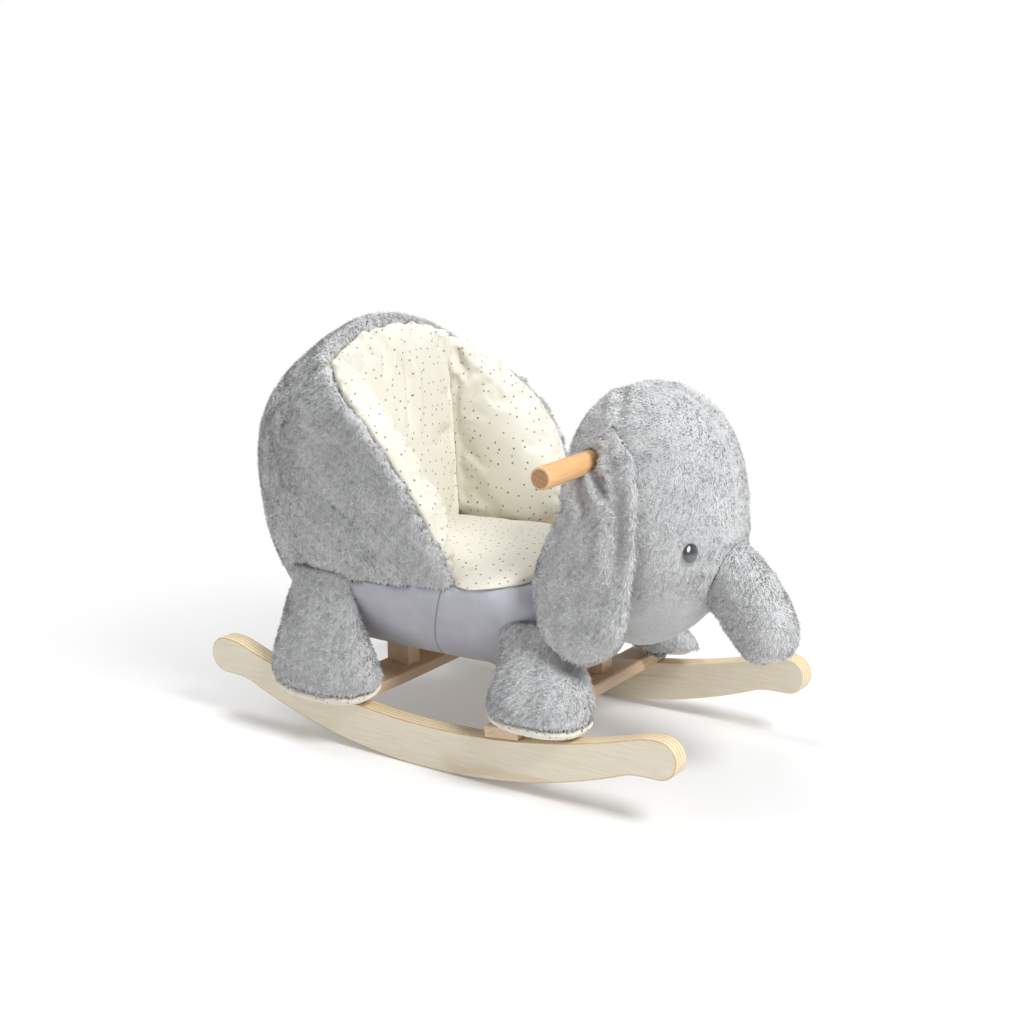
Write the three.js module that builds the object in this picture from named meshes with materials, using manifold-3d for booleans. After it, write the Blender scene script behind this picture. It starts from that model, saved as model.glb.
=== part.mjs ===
// Rocking elephant: a stuffed elephant seat on a plywood shell, carried by two plywood rockers.
// Millimetres. +X is forward (the head), +Y is the elephant's left, +Z is up, the floor is z = 0.
import * as THREE from 'three';
import { mergeVertices } from 'three/addons/utils/BufferGeometryUtils.js';
import Module from 'manifold-3d';

const wasm = await Module();
wasm.setup();

// Clearances, overrun of cutting tools, and the distance at which vertices weld
const GAP = 0.3;
const LINING_GAP = 1.2;
const OVERRUN = 8;
const WELD = 0.0001;

// Rockers: curved plywood boards with a small step and a round knob at each end
const ROCKER = {
  length: 620, thickness: 22, overallWidth: 320, depth: 49, edge: 1.6,
  soleRadius: 660, topRadius: 835, soleReach: 250, topReach: 262,
  knobRadius: 21, knobHeight: 74, stepRun: 9, shoulderRun: 10,
};
const SOLE_FACETS = 15;
const TOP_FACETS = 20;
const KNOB_FACETS = 9;
const STEP_FACETS = 4;
const SHOULDER_FACETS = 3;

// Cross bars that lie on the rockers, and the blocks that carry the base board on them
const BAR = { width: 42, thickness: 14, edge: 1.5, frontX: 102, rearX: -110 };
const BLOCK = { length: 30, width: 22, innerY: 38, frontShift: -11, rearShift: -1.5 };

// Wooden shell inside the stuffing: base board, leaning side boards, back board and head post
const BASE = {
  centreX: -157, rear: 28, front: 276, halfWidth: 74, power: 4.2, thickness: 12, underside: 100,
};
const WALL = {
  thickness: 12, footY: 71, spread: 82, rearX: -118, frontX: 4, shoulderZ: 196, topX: -42, topZ: 300,
};
const BACK = { thickness: 12, footX: -150, recline: 24, footHalf: 66, topHalf: 60, topZ: 408 };
const WALL_CORNER_FACETS = 5;
const POST = { thickness: 18, footRearX: 78, footFrontX: 118, headRadius: 26 };
const POST_HEAD_FACETS = 10;
const HANDLE = { x: 157, z: 346, radius: 12, length: 346, edge: 2.5 };
const HANDLE_SIDES = 24;

// Fasteners
const BAR_SCREW = { radius: 2.5, length: 42, headRadius: 4.8, headHeight: 3, spread: 11 };
const BOLT = { radius: 3, headRadius: 5.5, headHeight: 4 };
const TEE_NUT = { flangeRadius: 9, flange: 1.5, barrelRadius: 4.6, barrel: 8 };
const BOARD_SCREW = { radius: 2, length: 36, headRadius: 4, headHeight: 2.4 };
const BACK_SCREW_Y = 40;
const WALL_SCREW_INSET = 22;
const POST_SCREW_INSET = 10;
const SCREW_SIDES = 8;
const NUT_SIDES = 12;

// Seat plane: the stuffed base ends at it, and the lining lies on it
const SEAT = { height: 201, slope: 0.09 };

// Stuffed body: reach behind and before its centre, half width and height of the whole blob
const BODY = { centreX: -157, rear: 153, front: 307, half: 170, bottom: 100, height: 362 };
const REAR_POWER = 2;
const FRONT_POWER = 3.4;
// Stations as shares: height, rear reach, half width, front reach
const BODY_shares = [
  [0, 0.23, 0.47, 0.95], [0.033, 0.42, 0.565, 0.965], [0.083, 0.6, 0.675, 0.985],
  [0.138, 0.74, 0.75, 1], [0.193, 0.84, 0.805, 0.99], [0.249, 0.905, 0.85, 0.967],
  [0.29, 0.935, 0.885, 0.9], [0.345, 0.965, 0.925, 0.76], [0.431, 0.985, 0.962, 0.69],
  [0.525, 1, 0.99, 0.69], [0.613, 0.985, 1, 0.69], [0.693, 0.94, 0.985, 0.64],
  [0.773, 0.845, 0.93, 0.61], [0.843, 0.72, 0.83, 0.6], [0.898, 0.58, 0.715, 0.58],
  [0.953, 0.41, 0.54, 0.5], [0.986, 0.28, 0.33, 0.35], [1, 0.18, 0.18, 0.2],
];
const BODY_SIDES = 36;

// Rim seam between the cream lining and the fur, from the middle of the back to a wing's front end
const RIM = { rearX: -172, frontX: 14, half: 161, topZ: 453, frontZ: 219, backInset: 22, roll: 9 };
// Stations as shares: length, half width, height, inner width of the rim, inset of the back
const RIM_shares = [
  [0, 0, 1, 1, 1], [0.005, 0.373, 0.974, 0.87, 1], [0.043, 0.696, 0.915, 0.866, 0.64],
  [0.204, 0.863, 0.842, 0.734, 0.36], [0.349, 0.944, 0.765, 0.697, 0.23],
  [0.532, 0.988, 0.654, 0.698, 0.14], [0.661, 1, 0.56, 0.7, 0.1], [0.78, 0.994, 0.44, 0.706, 0.05],
  [0.876, 0.944, 0.303, 0.717, 0], [0.946, 0.87, 0.158, 0.72, 0], [1, 0.795, 0, 0.727, 0],
];
const RIM_CORNER = 2;
const RIM_SPLIT_share = 0.012;

// Foot of the hollow on the seat plane, and the padding of back and wings
const HOLLOW = { rearX: -122, rearHalf: 81, frontX: 12, frontHalf: 93.5 };
const PADDING = { foot: 31, crown: 9 };
const BACK_PAD_CELLS = [8, 7, 4];
const WING_PAD_CELLS = [10, 6, 4];

// Seat pad: plan as shares of length and half width, and its crown
const SEAT_PAD = { rearX: -118, frontX: 98, half: 134, thickness: 26, centreX: 30 };
const SEAT_PAD_shares = [
  [0, 0.24], [0.012, 0.5], [0.046, 0.57], [0.16, 0.598], [0.267, 0.612], [0.4, 0.635], [0.52, 0.655],
  [0.6, 0.68], [0.628, 0.72], [0.634, 0.89], [0.66, 0.96], [0.71, 0.99], [0.77, 1], [0.84, 0.98],
  [0.9, 0.9], [0.955, 0.74], [0.99, 0.5], [1, 0.24],
];
// Levels of a cushion as shares: plan and thickness
const CROWN_shares = [
  [0.96, 0], [0.985, 0.12], [1, 0.3], [0.985, 0.46], [0.93, 0.64], [0.8, 0.82], [0.55, 0.95], [0.25, 1],
];

// Head, trunk, eyes and ears
const HEAD = {
  x: 190, length: 104, half: 100, widestZ: 268, rise: 155, drop: 138, chinDrift: 15,
  crownPower: 2.3, chinPower: 1.8,
};
const HEAD_RINGS = 14;
const HEAD_SIDES = 28;
const TRUNK = {
  rootX: 262, rootZ: 245, bendX: 312, bendZ: 206, tipX: 340, tipZ: 142, radius: 40, half: 37,
};
// Stations as shares: way along the trunk, radius
const TRUNK_shares = [
  [0, 0.92], [0.2, 0.97], [0.4, 1], [0.6, 1], [0.75, 0.96], [0.87, 0.86], [0.95, 0.7], [1, 0.42],
];
const TRUNK_SIDES = 18;
const EYE = { z: 262, bearing: 40, width: 16, height: 22, thickness: 5 };
const EYE_SIDES = 14;
const EYE_RINGS = 8;
const EAR = {
  rearX: 116, width: 111, footZ: 147, height: 245, footY: 143, thickness: 19, range: 35,
  seamRearX: 160, seamRearY: 93, seamRearZ: 345, seamTopX: 186, seamTopY: 70, seamTopZ: 391,
  handleRelief: 5,
};
// Ear outline as shares of its width and height
const EAR_shares = [
  [0.593, 1], [0.814, 0.88], [0.966, 0.645], [1, 0.343], [0.945, 0.1], [0.593, 0],
  [0.203, 0.073], [0, 0.265], [0.085, 0.486], [0.288, 0.686], [0.4, 0.83],
];
// Outer face of the ear as shares: height, distance from the middle plane
const EAR_lean_shares = [
  [0, 1], [0.09, 0.965], [0.216, 0.91], [0.42, 0.835], [0.584, 0.79], [0.706, 0.74], [0.829, 0.66],
  [0.951, 0.56], [1, 0.5],
];
// Levels of the ear as shares: outline, half thickness
const EAR_level_shares = [
  [0.3, 1], [0.62, 0.92], [0.85, 0.68], [0.96, 0.36], [1, 0], [0.96, -0.36], [0.85, -0.68],
  [0.62, -0.92], [0.3, -1],
];
const EAR_MIDDLE_share = 0.4;
const EAR_STEPS = 28;
// Swings, as shares of the range, at which the ear is trimmed to clear the head
const EAR_RELIEF_shares = [0, 0.35, 1];

// Legs: flared stuffed limbs with a domed sole, each hinged on its top seam
const REAR_LEG = {
  topX: -148, topY: 144, topZ: 190, footX: -141, footY: 152, footZ: 74, halfLength: 75,
  halfThickness: 34, tilt: 0.34,
};
const FRONT_LEG = {
  topX: 119, topY: 100, topZ: 172, footX: 136, footY: 143, footZ: 85, halfLength: 64,
  halfThickness: 40, tilt: 0.05,
};
const SOLE = { height: 14, relief: 3.2 };
// Stations as shares: height, way of the middle from foot to top, half length, half thickness
const LEG_shares = [
  [0, 0, 1, 1], [0.1, 0.03, 1.01, 1.02], [0.24, 0.16, 0.98, 0.97], [0.4, 0.38, 0.92, 0.86],
  [0.58, 0.64, 0.82, 0.72], [0.76, 0.87, 0.7, 0.58], [0.9, 0.97, 0.6, 0.46], [1, 1, 0.52, 0.38],
];
// Levels of the sole as shares: plan, depth
const SOLE_shares = [[0.985, 0], [0.97, 0.35], [0.88, 0.7], [0.66, 0.92], [0.3, 1]];
const LEG_SIDES = 24;
const LEG_POWER = 2.4;

const MATERIALS = {
  plywood: { color: 0xded4c0, roughness: 0.55, metalness: 0 },
  pine: { color: 0xebd2b9, roughness: 0.6, metalness: 0 },
  beech: { color: 0xf0be82, roughness: 0.45, metalness: 0 },
  steel: { color: 0xb8babd, roughness: 0.35, metalness: 1 },
  fur: { color: 0xbfc1c4, roughness: 0.95, metalness: 0 },
  velour: { color: 0xa9a9b6, roughness: 0.85, metalness: 0 },
  cream: { color: 0xf8f3e3, roughness: 0.85, metalness: 0 },
  thread: { color: 0x55585c, roughness: 0.6, metalness: 0 },
};
const SHADES = Object.fromEntries(
  Object.entries(MATERIALS).map(([name, look]) => [name, new THREE.MeshStandardMaterial(look)]));

const part = new THREE.Group();
const UP = new THREE.Vector3(0, 0, 1);
const DOWN = new THREE.Vector3(0, 0, -1);
const SIDES = [['right', -1], ['left', 1]];

function add(name, geometry, material) {
  const mesh = new THREE.Mesh(geometry, SHADES[material]);
  mesh.name = name;
  part.add(mesh);
}

function signedVolume(geometry) {
  const p = geometry.attributes.position;
  const index = geometry.index.array;
  const [a, b, c] = [new THREE.Vector3(), new THREE.Vector3(), new THREE.Vector3()];
  let volume = 0;
  for (let i = 0; i < index.length; i += 3) {
    a.fromBufferAttribute(p, index[i]);
    b.fromBufferAttribute(p, index[i + 1]);
    c.fromBufferAttribute(p, index[i + 2]);
    volume += a.dot(b.cross(c)) / 6;
  }
  return volume;
}

// Closed indexed copy of a geometry, with its faces turned outward
function closed(geometry) {
  const bare = geometry.clone();
  for (const extra of Object.keys(bare.attributes)) {
    if (extra !== 'position') bare.deleteAttribute(extra);
  }
  const merged = mergeVertices(bare, WELD);
  if (signedVolume(merged) < 0) {
    const index = merged.index.array;
    for (let i = 0; i < index.length; i += 3) [index[i], index[i + 1]] = [index[i + 1], index[i]];
  }
  return merged;
}

function solid(geometry) {
  const body = closed(geometry);
  return new wasm.Manifold(new wasm.Mesh({
    numProp: 3,
    vertProperties: new Float32Array(body.attributes.position.array),
    triVerts: new Uint32Array(body.index.array),
  }));
}

// The largest body of a result, without the crumbs that a cut leaves at its edges
function geometryOf(manifold) {
  const bodies = manifold.decompose();
  bodies.sort((a, b) => b.volume() - a.volume());
  const mesh = bodies[0].getMesh();
  const geometry = new THREE.BufferGeometry();
  geometry.setAttribute('position', new THREE.BufferAttribute(new Float32Array(mesh.vertProperties), 3));
  geometry.setIndex(Array.from(mesh.triVerts));
  return geometry;
}

function cut(geometry, ...tools) {
  let body = solid(geometry);
  for (const tool of tools) body = body.subtract(solid(tool));
  return geometryOf(body);
}

function common(geometry, other) {
  return geometryOf(solid(geometry).intersect(solid(other)));
}

function mirrored(geometry) {
  return closed(geometry.clone().scale(1, -1, 1));
}

function onSide(geometry, side) {
  return side > 0 ? geometry : mirrored(geometry);
}

// A geometry turned so that its own +Z points along a direction, then set down at a place
function placed(geometry, at, direction = UP) {
  const turn = new THREE.Quaternion().setFromUnitVectors(UP, direction);
  return geometry.clone().applyQuaternion(turn).translate(at.x, at.y, at.z);
}

// A flat outline as a slab centred on z = 0; an edge chamfers it, growth makes it larger all round
function slab(points, thickness, edge = 0, growth = 0) {
  const bevel = edge + growth;
  const outline = new THREE.Shape(points.map(([x, y]) => new THREE.Vector2(x, y)));
  const body = new THREE.ExtrudeGeometry(outline, {
    depth: thickness - 2 * edge, bevelEnabled: bevel > 0, bevelThickness: bevel, bevelSize: bevel,
    bevelOffset: -edge, bevelSegments: 1,
  });
  return body.translate(0, 0, edge - thickness / 2);
}

// The same slab standing in the XZ plane, centred on y = 0
function upright(points, thickness, edge = 0, growth = 0) {
  return slab(points, thickness, edge, growth).rotateX(Math.PI / 2);
}

function rectangle(length, width) {
  const [x, y] = [length / 2, width / 2];
  return [[-x, -y], [x, -y], [x, y], [-x, y]];
}

// A turned piece about Z from [radius, height] pairs
function turned(profile, sides) {
  const points = profile.map(([r, z]) => new THREE.Vector2(r, z));
  return closed(new THREE.LatheGeometry(points, sides).rotateX(Math.PI / 2));
}

// A closed skin through rings of equal point count, with a fan over each end
function ringLoft(rings) {
  const around = rings[0].length;
  const points = rings.flat();
  const middle = (ring) => ring
    .reduce((sum, p) => sum.add(p), new THREE.Vector3()).divideScalar(ring.length);
  const first = points.length;
  const last = first + 1;
  points.push(middle(rings[0]), middle(rings[rings.length - 1]));
  const index = [];
  for (let r = 0; r + 1 < rings.length; r += 1) {
    for (let i = 0; i < around; i += 1) {
      const a = r * around + i;
      const b = r * around + ((i + 1) % around);
      index.push(a, b, b + around, a, b + around, a + around);
    }
  }
  const top = (rings.length - 1) * around;
  for (let i = 0; i < around; i += 1) {
    const next = (i + 1) % around;
    index.push(first, next, i, last, top + i, top + next);
  }
  const geometry = new THREE.BufferGeometry().setFromPoints(points);
  geometry.setIndex(index);
  return closed(geometry);
}

// A block divided into cells, each corner of which a function places
function shapedBlock(cells, place) {
  const block = closed(new THREE.BoxGeometry(2, 2, 2, ...cells));
  const p = block.attributes.position;
  for (let i = 0; i < p.count; i += 1) {
    const at = place(p.getX(i), p.getY(i), p.getZ(i));
    p.setXYZ(i, at.x, at.y, at.z);
  }
  return closed(block);
}

// A row between the rows of a table whose first column is the key
function between(rows, key) {
  const next = Math.max(1, rows.findIndex((row) => row[0] >= key));
  const [low, high] = [rows[next - 1], rows[next]];
  const t = (key - low[0]) / (high[0] - low[0]);
  return low.map((value, column) => THREE.MathUtils.lerp(value, high[column], t));
}

function superellipse(angle, rear, half, front, rearPower, frontPower) {
  const [c, s] = [Math.cos(angle), Math.sin(angle)];
  const [reach, power] = c > 0 ? [front, frontPower] : [rear, rearPower];
  return [
    Math.sign(c) * reach * Math.abs(c) ** (2 / power),
    Math.sign(s) * half * Math.abs(s) ** (2 / power),
  ];
}

function around(count, place) {
  return Array.from({ length: count }, (_, i) => place((i * 2 * Math.PI) / count));
}

// Rocker outline: faceted sole, small step, knob and a long hollow top edge
const arcRise = (radius, x) => radius - Math.sqrt(radius * radius - x * x);
const soleFacet = (2 * ROCKER.soleReach) / SOLE_FACETS;
const soleLift = arcRise(ROCKER.soleRadius, soleFacet / 2);
const soleHeight = (x) => arcRise(ROCKER.soleRadius, x) - soleLift;
const rockerTop = (x) => ROCKER.depth + arcRise(ROCKER.topRadius, x);
const knobX = ROCKER.length / 2 - ROCKER.knobRadius;
const rockerY = (ROCKER.overallWidth - ROCKER.thickness) / 2;
const rockerInnerY = ROCKER.overallWidth / 2 - ROCKER.thickness;

function rockerOutline() {
  const half = [];
  for (let i = (SOLE_FACETS + 1) / 2; i <= SOLE_FACETS; i += 1) {
    const x = i * soleFacet - ROCKER.soleReach;
    half.push([x, soleHeight(x)]);
  }
  const [stepX, stepZ] = half[half.length - 1];
  const knobBottom = ROCKER.knobHeight - ROCKER.knobRadius;
  const knobTop = ROCKER.knobHeight + ROCKER.knobRadius;
  const step = new THREE.QuadraticBezierCurve(
    new THREE.Vector2(stepX, stepZ), new THREE.Vector2(stepX + ROCKER.stepRun, knobBottom),
    new THREE.Vector2(knobX, knobBottom));
  for (const p of step.getPoints(STEP_FACETS).slice(1, -1)) half.push([p.x, p.y]);
  for (let i = 0; i <= KNOB_FACETS; i += 1) {
    const angle = (Math.PI * i) / KNOB_FACETS - Math.PI / 2;
    half.push([
      knobX + ROCKER.knobRadius * Math.cos(angle),
      ROCKER.knobHeight + ROCKER.knobRadius * Math.sin(angle),
    ]);
  }
  const shoulder = new THREE.QuadraticBezierCurve(
    new THREE.Vector2(knobX, knobTop), new THREE.Vector2(ROCKER.topReach + ROCKER.shoulderRun, knobTop),
    new THREE.Vector2(ROCKER.topReach, rockerTop(ROCKER.topReach)));
  for (const p of shoulder.getPoints(SHOULDER_FACETS).slice(1, -1)) half.push([p.x, p.y]);
  for (let i = 0; i < TOP_FACETS / 2; i += 1) {
    const x = ROCKER.topReach * (1 - (2 * i) / TOP_FACETS);
    half.push([x, rockerTop(x)]);
  }
  const other = half.map(([x, z]) => [-x, z]).reverse();
  return [...half, [0, rockerTop(0)], ...other];
}

// Cross bars lie in flat seats on the rockers, square to the rocker's top edge
const BARS = [['front', BAR.frontX, BLOCK.frontShift], ['rear', BAR.rearX, BLOCK.rearShift]].map(
  ([name, x, blockShift]) => {
    const lean = Math.asin(x / ROCKER.topRadius);
    const out = new THREE.Vector3(-Math.sin(lean), 0, Math.cos(lean));
    const along = new THREE.Vector3(Math.cos(lean), 0, Math.sin(lean));
    const seat = new THREE.Vector3(x, 0, rockerTop(x));
    return { name, out, along, seat, slope: Math.tan(lean), blockX: x + blockShift };
  });

function barBody(bar, growth = 0) {
  const centre = bar.seat.clone().addScaledVector(bar.out, BAR.thickness / 2);
  const edge = growth > 0 ? 0 : BAR.edge;
  const board = slab(rectangle(BAR.width, ROCKER.overallWidth), BAR.thickness, edge, growth);
  return placed(board, centre, bar.out);
}

const barUnderside = (bar, x) => bar.seat.z + (x - bar.seat.x) * bar.slope;
const blockY = BLOCK.innerY + BLOCK.width / 2;
const baseTop = BASE.underside + BASE.thickness;

// Screws, bolts and nuts: the head's underside is at z = 0 and the shank points down
function headed(size, sides) {
  return turned([
    [0, -size.length], [size.radius, size.radius - size.length], [size.radius, 0],
    [size.headRadius, 0], [size.headRadius, size.headHeight], [0, size.headHeight],
  ], sides);
}

function headedHole(size, sides) {
  const shank = size.radius + GAP;
  const head = size.headRadius + GAP;
  return turned([
    [0, -size.length - GAP], [shank, -size.length - GAP], [shank, -GAP], [head, -GAP],
    [head, size.headHeight + OVERRUN], [0, size.headHeight + OVERRUN],
  ], sides);
}

function teeNut() {
  const bore = BOLT.radius + GAP;
  return turned([
    [bore, -TEE_NUT.barrel], [TEE_NUT.barrelRadius, -TEE_NUT.barrel], [TEE_NUT.barrelRadius, 0],
    [TEE_NUT.flangeRadius, 0], [TEE_NUT.flangeRadius, TEE_NUT.flange], [bore, TEE_NUT.flange],
    [bore, -TEE_NUT.barrel],
  ], NUT_SIDES);
}

function rod(radius, low, high, sides) {
  return turned([[0, low], [radius, low], [radius, high], [0, high]], sides);
}

// Fasteners are gathered here, with the hole that each needs
const barScrews = [];
const bolts = [];
const boardScrews = [];

function fasten(list, name, size, at, out) {
  list.push({
    name, piece: placed(headed(size, SCREW_SIDES), at, out),
    hole: placed(headedHole(size, SCREW_SIDES), at, out), at,
  });
}

for (const bar of BARS) {
  for (const [side, sign] of SIDES) {
    for (const [place, way] of [['front', 1], ['rear', -1]]) {
      const at = bar.seat.clone().addScaledVector(bar.out, BAR.thickness - BAR_SCREW.headHeight)
        .addScaledVector(bar.along, way * BAR_SCREW.spread);
      at.y = sign * rockerY;
      fasten(barScrews, `${bar.name}_bar_screw_${side}_${place}`, BAR_SCREW, at, bar.out);
    }
    const headDepth = BOLT.headHeight + BOLT.headRadius * Math.abs(bar.slope);
    const at = new THREE.Vector3(bar.blockX, sign * blockY, barUnderside(bar, bar.blockX) + headDepth);
    const length = baseTop + TEE_NUT.flange - at.z;
    fasten(bolts, `${bar.name}_bolt_${side}`, { ...BOLT, length }, at, DOWN);
  }
}

// Side boards lean outward: a slab standing in the XZ plane is sheared along Y
const wallLean = WALL.spread / (WALL.topZ - baseTop);
const wallThicknessY = WALL.thickness * Math.hypot(1, wallLean);

function wallOutline() {
  const foot = baseTop + GAP;
  const edge = new THREE.QuadraticBezierCurve(
    new THREE.Vector2(WALL.frontX, WALL.shoulderZ), new THREE.Vector2(WALL.frontX, WALL.topZ),
    new THREE.Vector2(WALL.topX, WALL.topZ));
  const curve = edge.getPoints(WALL_CORNER_FACETS).map((p) => [p.x, p.y]);
  return [[WALL.rearX, foot], [WALL.frontX, foot], ...curve, [WALL.rearX, WALL.topZ]];
}

function wallBody(growth = 0) {
  const board = upright(wallOutline(), wallThicknessY, 0, growth);
  const p = board.attributes.position;
  for (let i = 0; i < p.count; i += 1) {
    p.setY(i, p.getY(i) + WALL.footY - wallThicknessY / 2 + wallLean * (p.getZ(i) - baseTop));
  }
  return board;
}

// The back board leans backward: a slab standing in the YZ plane is sheared along X
const backLean = BACK.recline / (BACK.topZ - baseTop);

function backBody(growth = 0) {
  const foot = baseTop + GAP;
  const outline = [
    [-BACK.footHalf, foot], [BACK.footHalf, foot], [BACK.topHalf, BACK.topZ], [-BACK.topHalf, BACK.topZ],
  ];
  const board = upright(outline, BACK.thickness, 0, growth).rotateZ(Math.PI / 2);
  const p = board.attributes.position;
  for (let i = 0; i < p.count; i += 1) {
    p.setX(i, p.getX(i) + BACK.footX - backLean * (p.getZ(i) - baseTop));
  }
  return board;
}

// The head post rises from its foot to a round head about the handle
function postOutline() {
  const foot = baseTop + GAP;
  const tangent = (footX, turn) => {
    const [dx, dz] = [footX - HANDLE.x, foot - HANDLE.z];
    return Math.atan2(dz, dx) + turn * Math.acos(POST.headRadius / Math.hypot(dx, dz));
  };
  const start = tangent(POST.footFrontX, 1);
  const end = tangent(POST.footRearX, -1) + 2 * Math.PI;
  const outline = [[POST.footRearX, foot], [POST.footFrontX, foot]];
  for (let i = 0; i <= POST_HEAD_FACETS; i += 1) {
    const angle = THREE.MathUtils.lerp(start, end, i / POST_HEAD_FACETS);
    outline.push([
      HANDLE.x + POST.headRadius * Math.cos(angle), HANDLE.z + POST.headRadius * Math.sin(angle),
    ]);
  }
  return outline;
}

const postBody = (growth = 0) => upright(postOutline(), POST.thickness, 0, growth);

function handleTool(radius) {
  const reach = HANDLE.length / 2 + OVERRUN;
  return rod(radius, -reach, reach, HANDLE_SIDES).rotateX(Math.PI / 2).translate(HANDLE.x, 0, HANDLE.z);
}

function handleBody() {
  const { radius, edge } = HANDLE;
  const end = HANDLE.length / 2;
  const profile = [
    [0, -end], [radius - edge, -end], [radius, edge - end], [radius, end - edge],
    [radius - edge, end], [0, end],
  ];
  return turned(profile, HANDLE_SIDES).rotateX(Math.PI / 2).translate(HANDLE.x, 0, HANDLE.z);
}

// Base board with the plan of the stuffed body above it
function baseBody(growth = 0) {
  const outline = around(BODY_SIDES, (angle) => {
    const [x, y] = superellipse(
      angle, BASE.rear, BASE.halfWidth, BASE.front, REAR_POWER, BASE.power);
    return [x + BASE.centreX, y];
  });
  const board = slab(outline, BASE.thickness, 0, growth);
  return board.translate(0, 0, BASE.underside + BASE.thickness / 2);
}

// Screws from under the base board into the boards that stand on it
const boardScrewZ = BASE.underside + BOARD_SCREW.headHeight + GAP;
for (const [side, sign] of SIDES) {
  const backAt = new THREE.Vector3(BACK.footX, sign * BACK_SCREW_Y, boardScrewZ);
  fasten(boardScrews, `back_board_screw_${side}`, BOARD_SCREW, backAt, DOWN);
  const lean = new THREE.Vector3(0, -sign * wallLean, -1).normalize();
  const wallScrewZ = boardScrewZ + BOARD_SCREW.headRadius * wallLean;
  const wallY = WALL.footY - wallThicknessY / 2 - wallLean * (baseTop - wallScrewZ);
  const wallPlaces = [['front', WALL.frontX - WALL_SCREW_INSET], ['rear', WALL.rearX + WALL_SCREW_INSET]];
  for (const [place, x] of wallPlaces) {
    const wallAt = new THREE.Vector3(x, sign * wallY, wallScrewZ);
    fasten(boardScrews, `side_board_screw_${side}_${place}`, BOARD_SCREW, wallAt, lean);
  }
}
for (const [place, x] of [
  ['front', POST.footFrontX - POST_SCREW_INSET], ['rear', POST.footRearX + POST_SCREW_INSET],
]) {
  const postAt = new THREE.Vector3(x, 0, boardScrewZ);
  fasten(boardScrews, `head_post_screw_${place}`, BOARD_SCREW, postAt, DOWN);
}

const holes = (list) => list.map((fastener) => fastener.hole);
const teeNutPlaces = bolts.map(({ name, at }) => ({
  name: name.replace('bolt', 'tee_nut'), at: new THREE.Vector3(at.x, at.y, baseTop + GAP),
}));

function addFrame() {
  const barTools = BARS.map((bar) => barBody(bar, GAP));
  for (const [side, sign] of SIDES) {
    const rocker = upright(rockerOutline(), ROCKER.thickness, ROCKER.edge).translate(0, sign * rockerY, 0);
    add(`rocker_${side}`, cut(rocker, ...barTools, ...holes(barScrews)), 'plywood');
  }
  for (const bar of BARS) {
    add(`crossbar_${bar.name}`, cut(barBody(bar), ...holes(barScrews), ...holes(bolts)), 'pine');
    for (const [side, sign] of SIDES) {
      const low = bar.seat.z;
      const high = BASE.underside - GAP;
      const block = slab(rectangle(BLOCK.length, BLOCK.width), high - low)
        .translate(bar.blockX, sign * blockY, (low + high) / 2);
      add(`spacer_block_${bar.name}_${side}`, cut(block, barBody(bar, GAP), ...holes(bolts)), 'pine');
    }
  }
}

function addShell() {
  const nutSockets = teeNutPlaces.map(({ at }) => placed(
    rod(TEE_NUT.barrelRadius + GAP, -TEE_NUT.barrel - GAP, OVERRUN, NUT_SIDES), at));
  add('base_board', cut(baseBody(), ...nutSockets, ...holes(bolts), ...holes(boardScrews)), 'plywood');
  for (const [side, sign] of SIDES) {
    add(`side_board_${side}`, cut(onSide(wallBody(), sign), ...holes(boardScrews)), 'plywood');
  }
  add('back_board', cut(backBody(), ...holes(boardScrews)), 'plywood');
  add('head_post', cut(postBody(), handleTool(HANDLE.radius + GAP), ...holes(boardScrews)), 'plywood');
  add('handle_dowel', handleBody(), 'beech');
}

function addFasteners() {
  for (const { name, piece } of [...barScrews, ...bolts, ...boardScrews]) add(name, piece, 'steel');
  for (const { name, at } of teeNutPlaces) add(name, placed(teeNut(), at), 'steel');
}

// Stuffed body as one blob, which the seat plane and the rim divide
const seatZ = (x) => SEAT.height + SEAT.slope * x;
const reachOut = ROCKER.length;

function blob(growth = 0) {
  const rings = BODY_shares.map(([height, rear, half, front]) => {
    const z = BODY.bottom - growth + (BODY.height + 2 * growth) * height;
    return around(BODY_SIDES, (angle) => {
      const [x, y] = superellipse(
        angle, BODY.rear * rear + growth, BODY.half * half + growth, BODY.front * front + growth,
        REAR_POWER, FRONT_POWER);
      return new THREE.Vector3(x + BODY.centreX, y, z);
    });
  });
  return ringLoft(rings);
}

// Everything between two levels above the seat plane
function seatLayer(from, to) {
  const [rear, front] = [-reachOut, reachOut];
  return upright([
    [rear, seatZ(rear) + from], [front, seatZ(front) + from], [front, seatZ(front) + to],
    [rear, seatZ(rear) + to],
  ], 2 * reachOut);
}

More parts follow.
